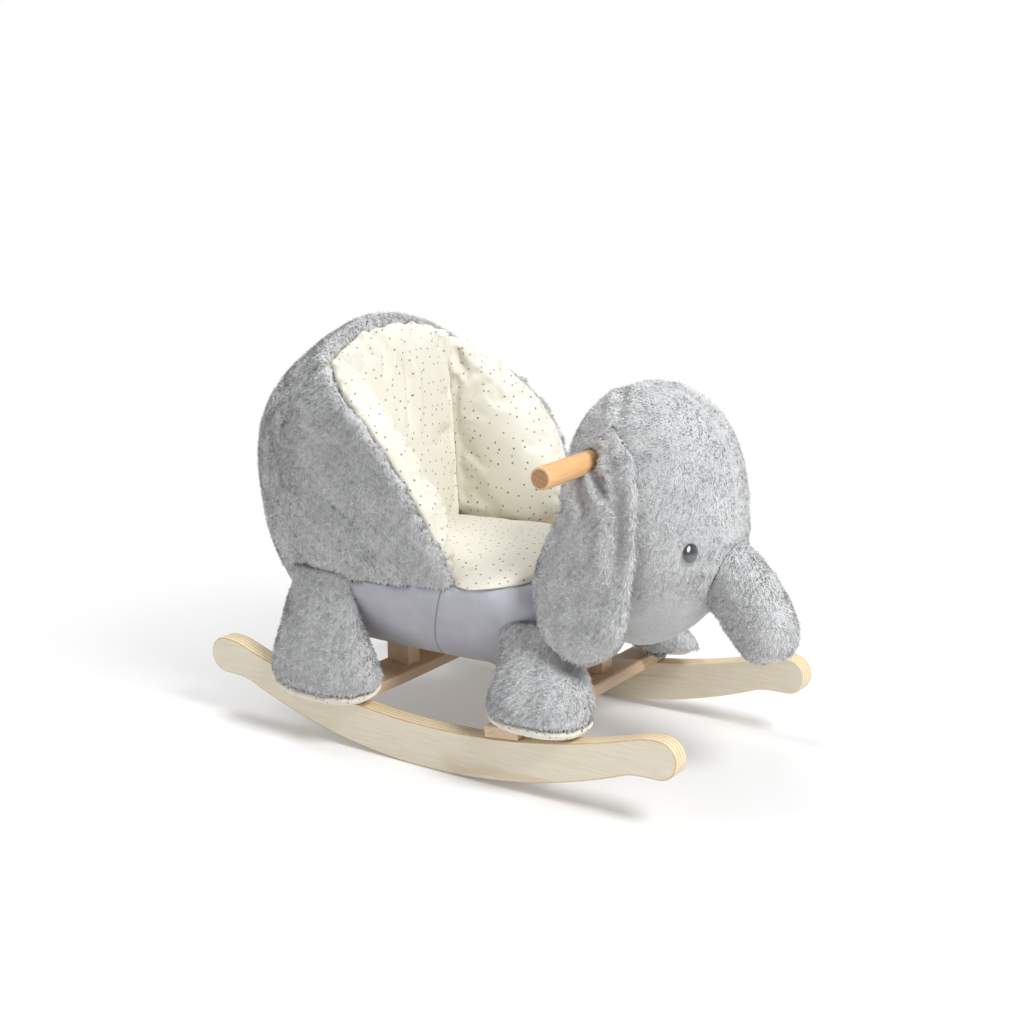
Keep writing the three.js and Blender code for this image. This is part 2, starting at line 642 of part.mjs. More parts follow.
// Corners of the padding at a place along the rim: outer and inner, at the rim and on the seat plane
function rimPlaces(station, side) {
  const low = Math.min(Math.floor(station), RIM_shares.length - 2);
  const shares = RIM_shares[low].map(
    (value, i) => THREE.MathUtils.lerp(value, RIM_shares[low + 1][i], station - low));
  const [along, across, up, inner, inset] = shares;
  const outer = new THREE.Vector3(
    THREE.MathUtils.lerp(RIM.rearX, RIM.frontX, along), side * RIM.half * across,
    THREE.MathUtils.lerp(RIM.frontZ, RIM.topZ, up));
  const lip = new THREE.Vector3(outer.x + RIM.backInset * inset, outer.y * inner, outer.z);
  const cornerShare = RIM_shares[RIM_CORNER][0];
  const way = Math.max(0, (along - cornerShare) / (1 - cornerShare));
  const toCorner = Math.min(1, station / RIM_CORNER);
  const footX = THREE.MathUtils.lerp(HOLLOW.rearX, HOLLOW.frontX, way);
  const footHalf = toCorner * THREE.MathUtils.lerp(HOLLOW.rearHalf, HOLLOW.frontHalf, way);
  const foot = new THREE.Vector3(footX, side * footHalf, seatZ(footX));
  const outward = new THREE.Vector3(outer.x - lip.x, outer.y - lip.y, 0).normalize();
  const base = foot.clone().addScaledVector(outward, PADDING.foot);
  base.z = seatZ(base.x);
  return { outer, lip, foot, base, outward };
}

// Tool that opens the body inside the rim: straight up above the seam, sloping in below it
function seatWell() {
  const last = RIM_shares.length - 1;
  const stations = [];
  for (let s = last; s > 0; s -= 1) stations.push([s, -1]);
  for (let s = 0; s <= last; s += 1) stations.push([s, 1]);
  const places = stations.map(([station, side]) => rimPlaces(station, side));
  const front = RIM.frontX + OVERRUN;
  const high = BODY.bottom + BODY.height + OVERRUN;
  const ring = (pick) => {
    const points = places.map(pick);
    const [first, end] = [points[0], points[points.length - 1]];
    return [...points, end.clone().setX(front), first.clone().setX(front)];
  };
  const grown = (point, outward) => point.clone().addScaledVector(outward, GAP);
  return ringLoft([
    ring(({ base, outward }) => grown(base, outward).setZ(base.z - OVERRUN)),
    ring(({ base, outward }) => grown(base, outward)),
    ring(({ outer, outward }) => grown(outer, outward)),
    ring(({ outer, outward }) => grown(outer, outward).setZ(high)),
  ]);
}

// Tool that clears the space before and above the rim, seen from the side
function rimFront() {
  const seam = RIM_shares.map((_, station) => rimPlaces(station, 1).outer).map(({ x, z }) => [x, z]);
  const high = RIM.topZ + reachOut;
  return upright([
    ...seam, [RIM.frontX, seatZ(RIM.frontX) - OVERRUN], [reachOut, seatZ(reachOut) - OVERRUN],
    [reachOut, high], [RIM.rearX, high],
  ], 2 * reachOut);
}

// Wedge behind the seat corners, which parts the back of the body from its sides
function backWedge(growth = 0) {
  const corner = rimPlaces(RIM_CORNER, 1).base;
  const apex = corner.x + corner.y + growth;
  const outline = [[apex, 0], [apex - reachOut, reachOut], [apex - reachOut, -reachOut]];
  return slab(outline, 2 * reachOut);
}

function sideHalf(side) {
  const half = slab(rectangle(2 * reachOut, reachOut), 2 * reachOut);
  return half.translate(0, (side * (reachOut + GAP)) / 2, 0);
}

function stuffingTools() {
  const walls = SIDES.map(([, sign]) => onSide(wallBody(GAP), sign));
  return [...walls, backBody(GAP)];
}

const below = seatLayer(-reachOut, -GAP / 2);
const belly = (growth = 0) => common(blob(growth), seatLayer(-reachOut, growth - GAP / 2));

function addBody() {
  const nutTools = teeNutPlaces.map(({ at }) => placed(
    rod(TEE_NUT.flangeRadius + GAP, -OVERRUN, TEE_NUT.flange + GAP, NUT_SIDES), at));
  const baseTool = baseBody(GAP);
  const baseBelow = baseBody(GAP).translate(0, 0, -BASE.thickness / 2);
  add('belly', cut(
    common(blob(), below), baseTool, baseBelow, postBody(GAP), ...stuffingTools(), ...nutTools), 'velour');
  const upper = common(blob(), seatLayer(GAP / 2, reachOut));
  const pads = [backPadding(LINING_GAP), ...SIDES.map(([, sign]) => onSide(wingPadding(LINING_GAP), sign))];
  const tub = cut(upper, seatWell(), rimFront(), ...pads, ...stuffingTools());
  add('body_back', common(tub, backWedge()), 'fur');
  const flanks = cutAll(tub, backWedge(2 * GAP));
  for (const [side, sign] of SIDES) add(`body_side_${side}`, common(flanks, sideHalf(sign)), 'fur');
}

// A cut that keeps every body of the result
function cutAll(geometry, tool) {
  const mesh = solid(geometry).subtract(solid(tool)).getMesh();
  const result = new THREE.BufferGeometry();
  result.setAttribute('position', new THREE.BufferAttribute(new Float32Array(mesh.vertProperties), 3));
  result.setIndex(Array.from(mesh.triVerts));
  return result;
}

// Padding between two stations of the rim, with a rolled rim and a crowned inner face
function padding(cells, stationAt, growth) {
  return shapedBlock(cells, (a, b, c) => {
    const [station, side] = stationAt(a);
    const { outer, lip, foot, base, outward } = rimPlaces(station, side);
    const [up, across] = [(b + 1) / 2, (c + 1) / 2];
    const rear = base.clone().lerp(outer, up).addScaledVector(outward, growth);
    const face = foot.clone().lerp(lip, up);
    const at = rear.clone().lerp(face, across);
    const swell = Math.sin(Math.PI * up) * Math.sqrt(Math.cos((a * Math.PI) / 2)) * across;
    at.addScaledVector(outward, -PADDING.crown * swell);
    at.z += RIM.roll * Math.sin(Math.PI * across) * up ** 3 + growth * (2 * up - 1) + GAP * (1 - up);
    return at;
  });
}

function backPadding(growth = 0) {
  const corner = RIM_CORNER * (1 - RIM_SPLIT_share);
  return padding(BACK_PAD_CELLS, (a) => [Math.abs(a) * corner, a < 0 ? -1 : 1], growth);
}

function wingPadding(growth = 0) {
  const first = RIM_CORNER + RIM_SPLIT_share;
  const last = RIM_shares.length - 1;
  return padding(WING_PAD_CELLS, (a) => [THREE.MathUtils.lerp(first, last, (a + 1) / 2), 1], growth);
}

function addLining() {
  add('back_pad', cut(backPadding(), backBody(GAP)), 'cream');
  const wing = cut(wingPadding(), wallBody(GAP));
  for (const [side, sign] of SIDES) add(`wing_pad_${side}`, onSide(wing, sign), 'cream');
  add('seat_pad', cut(seatPad(), headBody(GAP), postBody(GAP)), 'cream');
}

// Rings of an outline shrunk towards a middle, placed at levels
function cushionRings(outline, middle, levels, place) {
  return levels.map(([share, level]) => outline.map(([x, y]) => place(
    middle[0] + (x - middle[0]) * share, middle[1] + (y - middle[1]) * share, level)));
}

function seatPad() {
  const half = SEAT_PAD_shares.map(([along, across]) => [
    THREE.MathUtils.lerp(SEAT_PAD.rearX, SEAT_PAD.frontX, along), SEAT_PAD.half * across]);
  const outline = [...half, ...half.map(([x, y]) => [x, -y]).reverse()];
  return ringLoft(cushionRings(outline, [SEAT_PAD.centreX, 0], CROWN_shares,
    (x, y, level) => new THREE.Vector3(x, y, seatZ(x) + GAP / 2 + SEAT_PAD.thickness * level)));
}

// Head: an egg that is blunt at the crown and draws back towards the chin
function headBody(growth = 0) {
  const rings = [];
  for (let i = 1; i < HEAD_RINGS; i += 1) {
    const level = Math.sin((i / HEAD_RINGS - 1 / 2) * Math.PI);
    const [reach, power] = level > 0 ? [HEAD.rise, HEAD.crownPower] : [HEAD.drop, HEAD.chinPower];
    const girth = (1 - Math.abs(level) ** power) ** (1 / power);
    const drift = level < 0 ? HEAD.chinDrift * level * level : 0;
    rings.push(around(HEAD_SIDES, (angle) => new THREE.Vector3(
      HEAD.x - drift + (HEAD.length * girth + growth) * Math.cos(angle),
      (HEAD.half * girth + growth) * Math.sin(angle),
      HEAD.widestZ + (reach + growth) * level)));
  }
  return ringLoft(rings);
}

// Trunk: a stuffed horn along a bent line in the middle plane
function trunkBody() {
  const line = new THREE.QuadraticBezierCurve(
    new THREE.Vector2(TRUNK.rootX, TRUNK.rootZ), new THREE.Vector2(TRUNK.bendX, TRUNK.bendZ),
    new THREE.Vector2(TRUNK.tipX, TRUNK.tipZ));
  return ringLoft(TRUNK_shares.map(([way, girth]) => {
    const [at, heading] = [line.getPoint(way), line.getTangent(way)];
    return around(TRUNK_SIDES, (angle) => new THREE.Vector3(
      at.x + heading.y * TRUNK.radius * girth * Math.cos(angle),
      TRUNK.half * girth * Math.sin(angle),
      at.y - heading.x * TRUNK.radius * girth * Math.cos(angle)));
  }));
}

// Eye: the outer cap of a flat ellipsoid set into the side of the face
function eyeBody() {
  const bearing = THREE.MathUtils.degToRad(EYE.bearing);
  const heading = Math.atan2(HEAD.length * Math.sin(bearing), HEAD.half * Math.cos(bearing));
  const at = new THREE.Vector3(
    HEAD.x + HEAD.length * Math.cos(bearing), HEAD.half * Math.sin(bearing), EYE.z);
  const ball = new THREE.SphereGeometry(1, EYE_SIDES, EYE_RINGS)
    .scale(EYE.height / 2, EYE.width / 2, EYE.thickness);
  const lens = ball.rotateY(Math.PI / 2).rotateZ(heading);
  return cut(lens.translate(at.x, at.y, at.z), headBody(GAP));
}

// The head as the left ear sees it once it has swung out by an angle in degrees
function turnedBack(geometry, angle) {
  const seamFoot = new THREE.Vector3(EAR.seamRearX, EAR.seamRearY, EAR.seamRearZ);
  const seam = new THREE.Vector3(EAR.seamTopX, EAR.seamTopY, EAR.seamTopZ).sub(seamFoot).normalize();
  const turn = new THREE.Matrix4().makeRotationAxis(seam, -THREE.MathUtils.degToRad(angle));
  return geometry.translate(-seamFoot.x, -seamFoot.y, -seamFoot.z).applyMatrix4(turn)
    .translate(seamFoot.x, seamFoot.y, seamFoot.z);
}

// Ear: a flat stuffed lobe that leans out from the head towards its foot
function earBody() {
  const knots = EAR_shares.map(([across, up]) => new THREE.Vector3(
    EAR.rearX + EAR.width * across, 0, EAR.footZ + EAR.height * up));
  const outline = new THREE.CatmullRomCurve3(knots, true, 'centripetal').getPoints(EAR_STEPS)
    .slice(0, -1).map(({ x, z }) => [x, z]);
  const middle = [EAR.rearX + EAR.width / 2, EAR.footZ + EAR.height * EAR_MIDDLE_share];
  const rings = cushionRings(outline, middle, EAR_level_shares, (x, z, level) => {
    const up = THREE.MathUtils.clamp((z - EAR.footZ) / EAR.height, 0, 1);
    const face = EAR.footY * between(EAR_lean_shares, up)[1];
    return new THREE.Vector3(x, face - (EAR.thickness / 2) * (1 - level), z);
  });
  const reliefs = EAR_RELIEF_shares.map((share) => turnedBack(headBody(GAP), share * EAR.range));
  return cut(ringLoft(rings), ...reliefs, handleTool(HANDLE.radius + EAR.handleRelief));
}

function addHead() {
  const tools = [belly(GAP), postBody(GAP), handleTool(HANDLE.radius + GAP)];
  add('head', cut(headBody(), ...tools), 'fur');
  add('trunk', cut(trunkBody(), headBody(GAP)), 'fur');
  const [eye, ear] = [eyeBody(), earBody()];
  for (const [side, sign] of SIDES) {
    add(`eye_${side}`, onSide(eye, sign), 'thread');
    add(`ear_${side}`, onSide(ear, sign), 'fur');
  }
}

// Plan of a leg at a height, tilted down towards the outside at the foot
function legRing(leg, way, length, thickness, z, droop) {
  const x = THREE.MathUtils.lerp(leg.footX, leg.topX, way);
  const y = THREE.MathUtils.lerp(leg.footY, leg.topY, way);
  return around(LEG_SIDES, (angle) => {
    const [dx, dy] = superellipse(angle, length, thickness, length, LEG_POWER, LEG_POWER);
    return new THREE.Vector3(x + dx, y + dy, z - leg.tilt * droop * dy);
  });
}

function legBody(leg) {
  return ringLoft(LEG_shares.map(([up, way, length, thickness]) => legRing(
    leg, way, leg.halfLength * length, leg.halfThickness * thickness,
    THREE.MathUtils.lerp(leg.footZ, leg.topZ, up), Math.max(0, 1 - 2 * up))));
}

function soleBody(leg) {
  return ringLoft(SOLE_shares.map(([plan, depth]) => legRing(
    leg, 0, leg.halfLength * plan, leg.halfThickness * plan, leg.footZ - GAP - SOLE.height * depth, 1)));
}

// Tools that clear a foot of the rocker and its bar, with relief where it dips as it swings out
function footTools(leg, bar) {
  const outline = rockerOutline();
  const rocker = upright(outline, ROCKER.thickness, 0, GAP).translate(0, rockerY, 0);
  const inner = upright(outline, rockerInnerY).translate(0, rockerInnerY / 2, SOLE.relief);
  const barInner = common(barBody(bar, GAP), slab(
    rectangle(2 * reachOut, 2 * rockerInnerY), 2 * reachOut)).translate(0, 0, SOLE.relief);
  return [rocker, inner, barBody(bar, GAP), barInner];
}

function addLegs() {
  for (const [name, leg, bar] of [['front', FRONT_LEG, BARS[0]], ['rear', REAR_LEG, BARS[1]]]) {
    const tools = footTools(leg, bar);
    const limb = cut(legBody(leg), blob(GAP), headBody(GAP), ...tools);
    const sole = cut(soleBody(leg), ...tools);
    for (const [side, sign] of SIDES) {
      add(`leg_${name}_${side}`, onSide(limb, sign), 'fur');
      add(`sole_${name}_${side}`, onSide(sole, sign), 'cream');
    }
  }
}

addFrame();
addShell();
addFasteners();
addBody();
addLining();
addHead();
addLegs();

// The origin is below the middle of the whole length
const extent = new THREE.Box3().setFromObject(part);
part.position.x = -(extent.min.x + extent.max.x) / 2;

export default part;
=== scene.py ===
"""Rocking elephant: plush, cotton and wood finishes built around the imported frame, in metres."""
import math
from types import SimpleNamespace as Sizes

import bpy
import numpy as np
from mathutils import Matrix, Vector
from mathutils.bvhtree import BVHTree


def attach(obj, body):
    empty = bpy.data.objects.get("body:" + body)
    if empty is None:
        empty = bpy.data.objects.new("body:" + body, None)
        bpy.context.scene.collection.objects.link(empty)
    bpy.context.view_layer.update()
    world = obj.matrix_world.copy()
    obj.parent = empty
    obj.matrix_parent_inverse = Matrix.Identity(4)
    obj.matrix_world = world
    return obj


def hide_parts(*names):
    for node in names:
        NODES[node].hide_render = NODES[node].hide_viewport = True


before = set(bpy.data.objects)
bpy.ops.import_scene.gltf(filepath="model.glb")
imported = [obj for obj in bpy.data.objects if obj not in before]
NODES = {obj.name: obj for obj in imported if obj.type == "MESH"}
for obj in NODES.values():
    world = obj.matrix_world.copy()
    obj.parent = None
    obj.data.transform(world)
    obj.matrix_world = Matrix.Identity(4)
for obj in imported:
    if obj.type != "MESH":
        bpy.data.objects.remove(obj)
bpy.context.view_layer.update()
SIDES = (("right", -1), ("left", 1))
MILLIMETRES = 1000

# Where the photograph was taken from
CAMERA_AT = Vector((1.0268, -1.5570, 0.7315))
CAMERA_YAW, CAMERA_PITCH = math.radians(33.88), math.radians(14.26)
CAMERA_LENS, CAMERA_SENSOR, CAMERA_CLIP = 60.37, 36, (0.05, 50)

# Lamps: place, size and power. The floor glows white outwards from under the part
LAMPS = dict(
    key=((1.9, -0.45, 2.1), 1.0, 66), fill=((-1.7, -1.6, 1.3), 1.4, 4), top=((-0.9, 0.2, 2.3), 1.2, 25))
LAMPS_AIM, WORLD_LIGHT = Vector((0, 0, 0.2)), 0.36
FLOOR = Sizes(reach=6.0, glow_from=0.30, glow_to=0.80, glow_least=0.20)

# Middle of the rockers along X in the frame
MIDDLE = -0.026509

# Rockers, cross bars and handle, as in the frame
ROCKER = Sizes(
    length=0.620, thickness=0.022, width=0.320, depth=0.049, edge=0.0016, sole_radius=0.660,
    top_radius=0.835, sole_reach=0.250, top_reach=0.262, knob_radius=0.021, knob_height=0.074,
    step_run=0.009, shoulder_run=0.010)
ROCKER_INNER = ROCKER.width / 2 - ROCKER.thickness
PLIES = 9
BAR = Sizes(width=0.042, front=0.102, rear=-0.110, gap=0.0003)
HANDLE = Sizes(x=0.157 + MIDDLE, z=0.346, radius=0.012, half=0.173, edge=0.0025, sides=64)

# Soft surfaces: size of their mesh, how far the skin lies below the tips of the fur, and what seams reach
SKIN_VOXEL, CLOTH_VOXEL = 0.0045, 0.0048
PATCH_ANGLE, PATCH_GAP = math.radians(50), 0.001
SKIN_INSET = 0.0022
COVERED = 0.0035
TOUCHING = 0.0015
WELD_REACH = 0.00005
SEAM_REACH, FUR_SEAM_REACH = 0.009, 0.015

# Fur: most tufts on a piece, the skin that each covers, their sizes in metres and degrees, and their shading;
# the root colour is painted shade at the tufts' roots and on the skin between them
MOST_TUFTS, TUFT_PATCH = 90000, 2.1e-6
TUFT = Sizes(length=0.0051, width=0.0018, keel=0.0008, sink=0.0012, lean=54, spread=12)
TUFT_ROUNDING, TUFT_JITTER = 0.55, 0.18
TONE_WAVE, TONE_CHANCE = 0.50, 0.10
# The root colour is painted shade between the tufts; the tip colour is the fur's own pale grey
FUR_ROOT_SHADE, FUR_TIP = (0.23, 0.235, 0.25), (0.84, 0.845, 0.845)

# Stuffing that pushes the cloth out
SWELL = Sizes(frames=20, pressure=4.0, mass=0.15, stiffness=12.0, shear=4.0, bending=0.35)

# Velour: its nap's colours, and the line in the side view, stitch length and thread of its seam
VELOUR_DARK, VELOUR_PALE, VELOUR_GRAIN = (0.455, 0.46, 0.51), (0.53, 0.535, 0.58), (0.30, 0.30, 0.37)
VELOUR_SEAM = Sizes(start=-0.09964, slope=0.42, stitch=0.003, thread=(0.11, 0.12, 0.17))

# Cotton: its ground, and the spread, unevenness, reach and inks of its dots
COTTON_DARK, COTTON_PALE, WEAVE = (0.765, 0.735, 0.635), (0.80, 0.775, 0.685), 700.0
DOTS = Sizes(scale=74.0, unevenness=0.8, ragged=0.025, full=0.094, faded=0.120,
             inks=((0.13, 0.12, 0.12), (0.30, 0.25, 0.19)))

# Eye: threads low and high on it, painted shade between them, and its glint, a painted highlight
EYE_LOW, EYE_HIGH, EYE_GAP_SHADE = (0.21, 0.215, 0.225), (0.055, 0.057, 0.062), (0.03, 0.03, 0.033)
EYE_PAINTED_GLINT = Sizes(up=0.52, width=0.24, height=0.30, colour=(0.93, 0.93, 0.92))

# Inside of the seat, and the top edge of the body round it, from behind the rider to one knee
SEAT_MIDDLE = np.array((-0.090, 0.0, 0.215))
RIM = np.array([(-172, 0, 453), (-164, 114, 432), (-107, 152, 398), (-49, 160, 351), (-9, 150, 290),
                (15, 125, 211)]) / MILLIMETRES + (MIDDLE, 0, 0)
RIM_RISE, RIM_WIDTH, LINING_DRAW = 0.0065, 0.030, 0.028
WING = Sizes(outer=0.142, thinning=0.42, tuck=0.015)

# The seat cushion, and half of its outline in plan from its rear middle to its front middle
SEAT = Sizes(middle_x=-0.055, top=0.2285, top_slope=0.035, crown=0.0095, seam=0.2035, seam_slope=0.09,
             front_roll=0.062, rear_roll=0.024, half_width=0.09, around=168, rings=34, under_rings=10,
             under=0.002)
SEAT_PLAN = np.array([(-150, 0), (-149, 40), (-146, 72), (-134, 86), (-100, 91), (-60, 96), (-25, 103),
                      (0, 115), (15, 127), (33, 135), (48, 134), (63, 129), (78, 116), (90, 100),
                      (100, 70), (106, 35), (108, 0)]) / MILLIMETRES + (MIDDLE, 0)

# Head, ears and legs
HEAD_X, HEAD_PILE, CHIN_PILE, EYE_DEPTH = 0.1635, 0.80, 0.4, 0.0018
HEAD_SEAM = Sizes(depth=0.0048, width=0.0060, pile_width=0.005, pile=0.45)
EAR_FILL, EAR_RISE = 0.0045, (0.003, 0.0, 0.010)
LEGS = dict(
    front=dict(top=0.172, depth=0.030, axis=0.0925, most=1.5, shift=0.020, edge=0.1736, slim=(0.04, 0, 0.05)),
    rear=dict(top=0.190, depth=0.022, axis=-0.1745, most=1.2, edge=-0.2435, slim=(0.11, 0.07, 0.15),
              thin=0.28, rise=0.009),
    far=dict(top=0.172, depth=0.030, axis=0.0925, most=1.1))
LEG_INNER, LEG_ANKLE = 0.125, 0.075
FAR_LEG = Sizes(rear=0.046, length=0.68, foot_length=0.92, outer=0.22, droop=0.064, hangs=(0.086, 0.112))
FAR_SOLE = Sizes(size=0.76, lift=0.003)

# Furrows on the right side in millimetres: depth, width, whether each fades in at its start, and its path
HEAD_CREASES = [
    (3.5, 6.5, False, (128, -2, 418), (140, -35, 411), (153, -64, 394), (158, -80, 374)),
    (4, 5, True, (259, -36, 262), (252, -47, 243), (247, -42, 217))]
EAR_CREASES = [
    (7, 5, False, (136, -92, 358), (147, -98, 345), (158, -103, 330), (170, -108, 308)),
    (4, 5, False, (128, -100, 338), (138, -108, 315), (145, -114, 290)),
    (6, 9, True, (166, -98, 345), (178, -106, 320), (184, -114, 280), (184, -122, 225))]
WING_CREASES = [
    (5, 6, False, (-176, -104, 436), (-158, -102, 402), (-143, -108, 370)),
    (4, 5, False, (-150, -124, 425), (-140, -108, 395)),
    (3, 5, False, (-118, -138, 400), (-112, -118, 378)),
    (4, 4, False, (-16, -128, 240), (-36, -108, 250)),
    (5, 3.5, False, (-14, -128, 230), (-34, -108, 226))]
BACK_CREASES = [
    (7, 7, True, (-176, -10, 425), (-164, -4, 392), (-158, -10, 360), (-154, -16, 322)),
    (6, 6, False, (-182, -40, 456), (-172, -36, 425), (-166, -44, 395)),
    (4, 6, False, (-182, -66, 452), (-170, -62, 420)),
    (3, 6, False, (-182, 24, 458), (-174, 18, 430)),
    (5, 6, False, (-180, 80, 448), (-170, 82, 405), (-160, 86, 350))]
SEAT_CREASES = [
    (2, 4, False, (-18, -112, 224), (-4, -94, 229)),
    (2, 4, False, (-14, -116, 220), (6, -106, 227))]


# Small helpers for numbers


def unit(vectors):
    """Each row scaled to length 1"""
    return vectors / np.maximum(np.linalg.norm(vectors, axis=1, keepdims=True), 1e-9)


def smooth_step(value, low, high):
    share = np.clip((value - low) / (high - low), 0, 1)
    return share * share * (3 - 2 * share)


def ripple(points, wavelength, seed, waves=6, strength=1.6):
    """A smooth random number from about -1 to 1 for each point, from a few crossing waves"""
    rng = np.random.default_rng(seed)
    total = np.zeros(len(points))
    for _ in range(waves):
        way = unit(rng.normal(size=(1, 3)))[0]
        scale = 2 * math.pi / (wavelength * rng.uniform(0.7, 1.5))
        total += np.sin(points @ way * scale + rng.uniform(0, 2 * math.pi))
    return total / waves * strength


# Node trees


class Value:
    """What a node puts out. Sums with it make the nodes that work them out"""

    def __init__(self, socket):
        self.socket = socket
        self.tree = socket.id_data

    def maths(self, operation, other=0.0):
        return node(self.tree, "Math", 0, {0: self, 1: other}, operation=operation)

    def __add__(self, other):
        return self.maths("ADD", other)

    def __sub__(self, other):
        return self.maths("SUBTRACT", other)

    def __mul__(self, other):
        return self.maths("MULTIPLY", other)

    def __abs__(self):
        return self.maths("ABSOLUTE")

    def spread(self, low, high, to_low=0, to_high=1):
        """The range from low to high, spread over another and cut off outside it"""
        return node(self.tree, "MapRange", "Result", {
            "Value": self, "From Min": low, "From Max": high, "To Min": to_low, "To Max": to_high})

    def mix(self, first, second):
        """The first colour at 0 and the second at 1"""
        first, second = (c if isinstance(c, Value) else (*c, 1) for c in (first, second))
        return node(self.tree, "Mix", 2, {0: self, 6: first, 7: second}, data_type="RGBA")


def feed(socket, value):
    if isinstance(value, Value):
        value.tree.links.new(value.socket, socket)
    else:
        socket.default_value = value


def node(tree, kind, out, inputs=None, **settings):
    """A new node's output, or several outputs where `out` lists them"""
    made = tree.nodes.new("ShaderNode" + kind)
    for key, value in settings.items():
        setattr(made, key, value)
    for socket, value in (inputs or {}).items():
        feed(made.inputs[socket], value)
    if isinstance(out, tuple):
        return [Value(made.outputs[key]) for key in out]
    return Value(made.outputs[out])


def noise(place, scale, detail=3.0, roughness=0.5, distortion=0.0):
    return node(place.tree, "TexNoise", "Fac", {
        "Vector": place, "Scale": scale, "Detail": detail, "Roughness": roughness, "Distortion": distortion})


def axes(place, *names):
    return node(place.tree, "SeparateXYZ", names, {"Vector": place})


def seen(tree, ray):
    """1 where the camera looks straight or by the other kind of ray"""
    straight, other = node(tree, "LightPath", ("Is Camera Ray", ray))
    return straight.maths("MAXIMUM", other)


class Look:
    """A new material, with fixed values on the shader's own sockets"""

    def __init__(self, name, **sockets):
        self.made = bpy.data.materials.new(name)
        self.made.use_nodes = True
        self.tree = self.made.node_tree
        self.shader = self.tree.nodes["Principled BSDF"]
        for socket, value in sockets.items():
            self.shader.inputs[socket.replace("_", " ").title().replace("Ior", "IOR")].default_value = value

    def place(self, *scale):
        """The place on the object, stretched along its axes"""
        place = node(self.tree, "TexCoord", "Object")
        return node(self.tree, "Mapping", "Vector", {"Vector": place, "Scale": scale or (1, 1, 1)})

    def flat(self):
        """The place on the cloth's own flat map"""
        return node(self.tree, "UVMap", "UV", uv_map="cloth")

    def relief(self, height, strength, distance):
        feed(self.shader.inputs["Normal"], node(self.tree, "Bump", "Normal", {
            "Height": height, "Strength": strength, "Distance": distance}))
        return self.made

    def colour(self, colour):
        feed(self.shader.inputs["Base Color"], colour)
        return self


# Wood


def wood(name, face, dark, along, streak=60.0, roughness=0.5):
    """Planed wood: fibres and growth rings drawn out along one axis, with fine pores"""
    look = Look(name, roughness=roughness, coat_weight=0.12, coat_roughness=0.35)
    stretch = [streak / 22 if axis == along else streak for axis in "XYZ"]
    fibres = noise(look.place(*stretch), 6.0, 5.0, 0.62)
    rings = noise(look.place(*(s / 7 for s in stretch)), 3.0, 2.0, 0.4, 0.6)
    pores = noise(look.place(*(s * 6 for s in stretch)), 6.0, 2.0)
    colour = (fibres * 0.55 + rings * 0.45).spread(0.36, 0.66).mix(dark, face)
    colour = pores.spread(0.58, 0.75, 0, 0.28).mix(colour, dark)
    return look.colour(colour).relief(fibres + pores * 0.5, 0.25, 0.0004)


def plywood_face():
    """Pale birch face with long, faint, flowing growth lines"""
    look = Look("plywood_face", roughness=0.48, coat_weight=0.15, coat_roughness=0.3)
    height, = axes(look.place(), "Z")
    warp = noise(look.place(3, 1, 7), 1.4, 2.0)
    line = ((height * 24 + warp * 3.4) * 6).maths("SINE").spread(0.86, 1.0)
    patch = noise(look.place(2, 2, 9), 2.2, 2.0).spread(0.46, 0.66, 0, 0.42)
    fibres = noise(look.place(26, 60, 420), 1.0, 4.0, 0.6)
    pale = fibres.spread(0.35, 0.65).mix((0.76, 0.68, 0.53), (0.83, 0.76, 0.62))
    colour = (line * patch).mix(pale, (0.63, 0.45, 0.25))
    return look.colour(colour).relief(fibres, 0.12, 0.0003)


def plywood_edge():
    """Sawn edge of plywood: plies in turn pale along the grain and browner across it"""
    look = Look("plywood_edge", roughness=0.55, coat_weight=0.1, coat_roughness=0.4)
    place = look.place()
    depth, = axes(place, "Y")
    ply = (abs(depth) - ROCKER_INNER) * (PLIES / ROCKER.thickness) + noise(place, 22.0, 2.0) * 0.25
    across = abs((ply * 0.5).maths("FRACT") - 0.5).spread(0.2, 0.3, 1, 0)
    glue = abs(ply.maths("FRACT") - 0.5).spread(0.42, 0.48)
    fibres = noise(look.place(140, 900, 140), 1.0, 3.0, 0.6)
    tone = fibres.spread(0.35, 0.65)
    long_ply = tone.mix((0.80, 0.68, 0.46), (0.90, 0.81, 0.61))
    end_ply = tone.mix((0.60, 0.42, 0.22), (0.75, 0.59, 0.36))
    colour = (glue * 0.55).mix(across.mix(long_ply, end_ply), (0.42, 0.26, 0.12))
    return look.colour(colour).relief(fibres + across * -0.6, 0.3, 0.0003)


def end_grain(name, pale, dark):
    """Sawn end of a dowel: fine open pores round growth rings"""
    look = Look(name, roughness=0.5, coat_weight=0.15, coat_roughness=0.3)
    place = look.place()
    rings = node(look.tree, "TexWave", "Fac", {
        "Vector": place, "Scale": 55.0, "Distortion": 2.0, "Detail": 2.0},
        wave_type="RINGS", rings_direction="Y")
    pores = noise(place, 1500.0, 2.0)
    colour = (rings * 0.12 + pores * 0.88).spread(0.3, 0.7).mix(dark, pale)
    return look.colour(colour).relief(pores, 0.3, 0.0003)


def zinc():
    look = Look("zinc_plated_steel", metallic=1.0, base_color=(0.62, 0.63, 0.64, 1))
    place = look.place()
    spangle = node(look.tree, "TexVoronoi", "Distance", {"Vector": place, "Scale": 420.0})
    feed(look.shader.inputs["Roughness"], spangle.spread(0, 0.6, 0.28, 0.46))
    return look.relief(noise(place, 1600.0), 0.2, 0.0001)


# Cloth


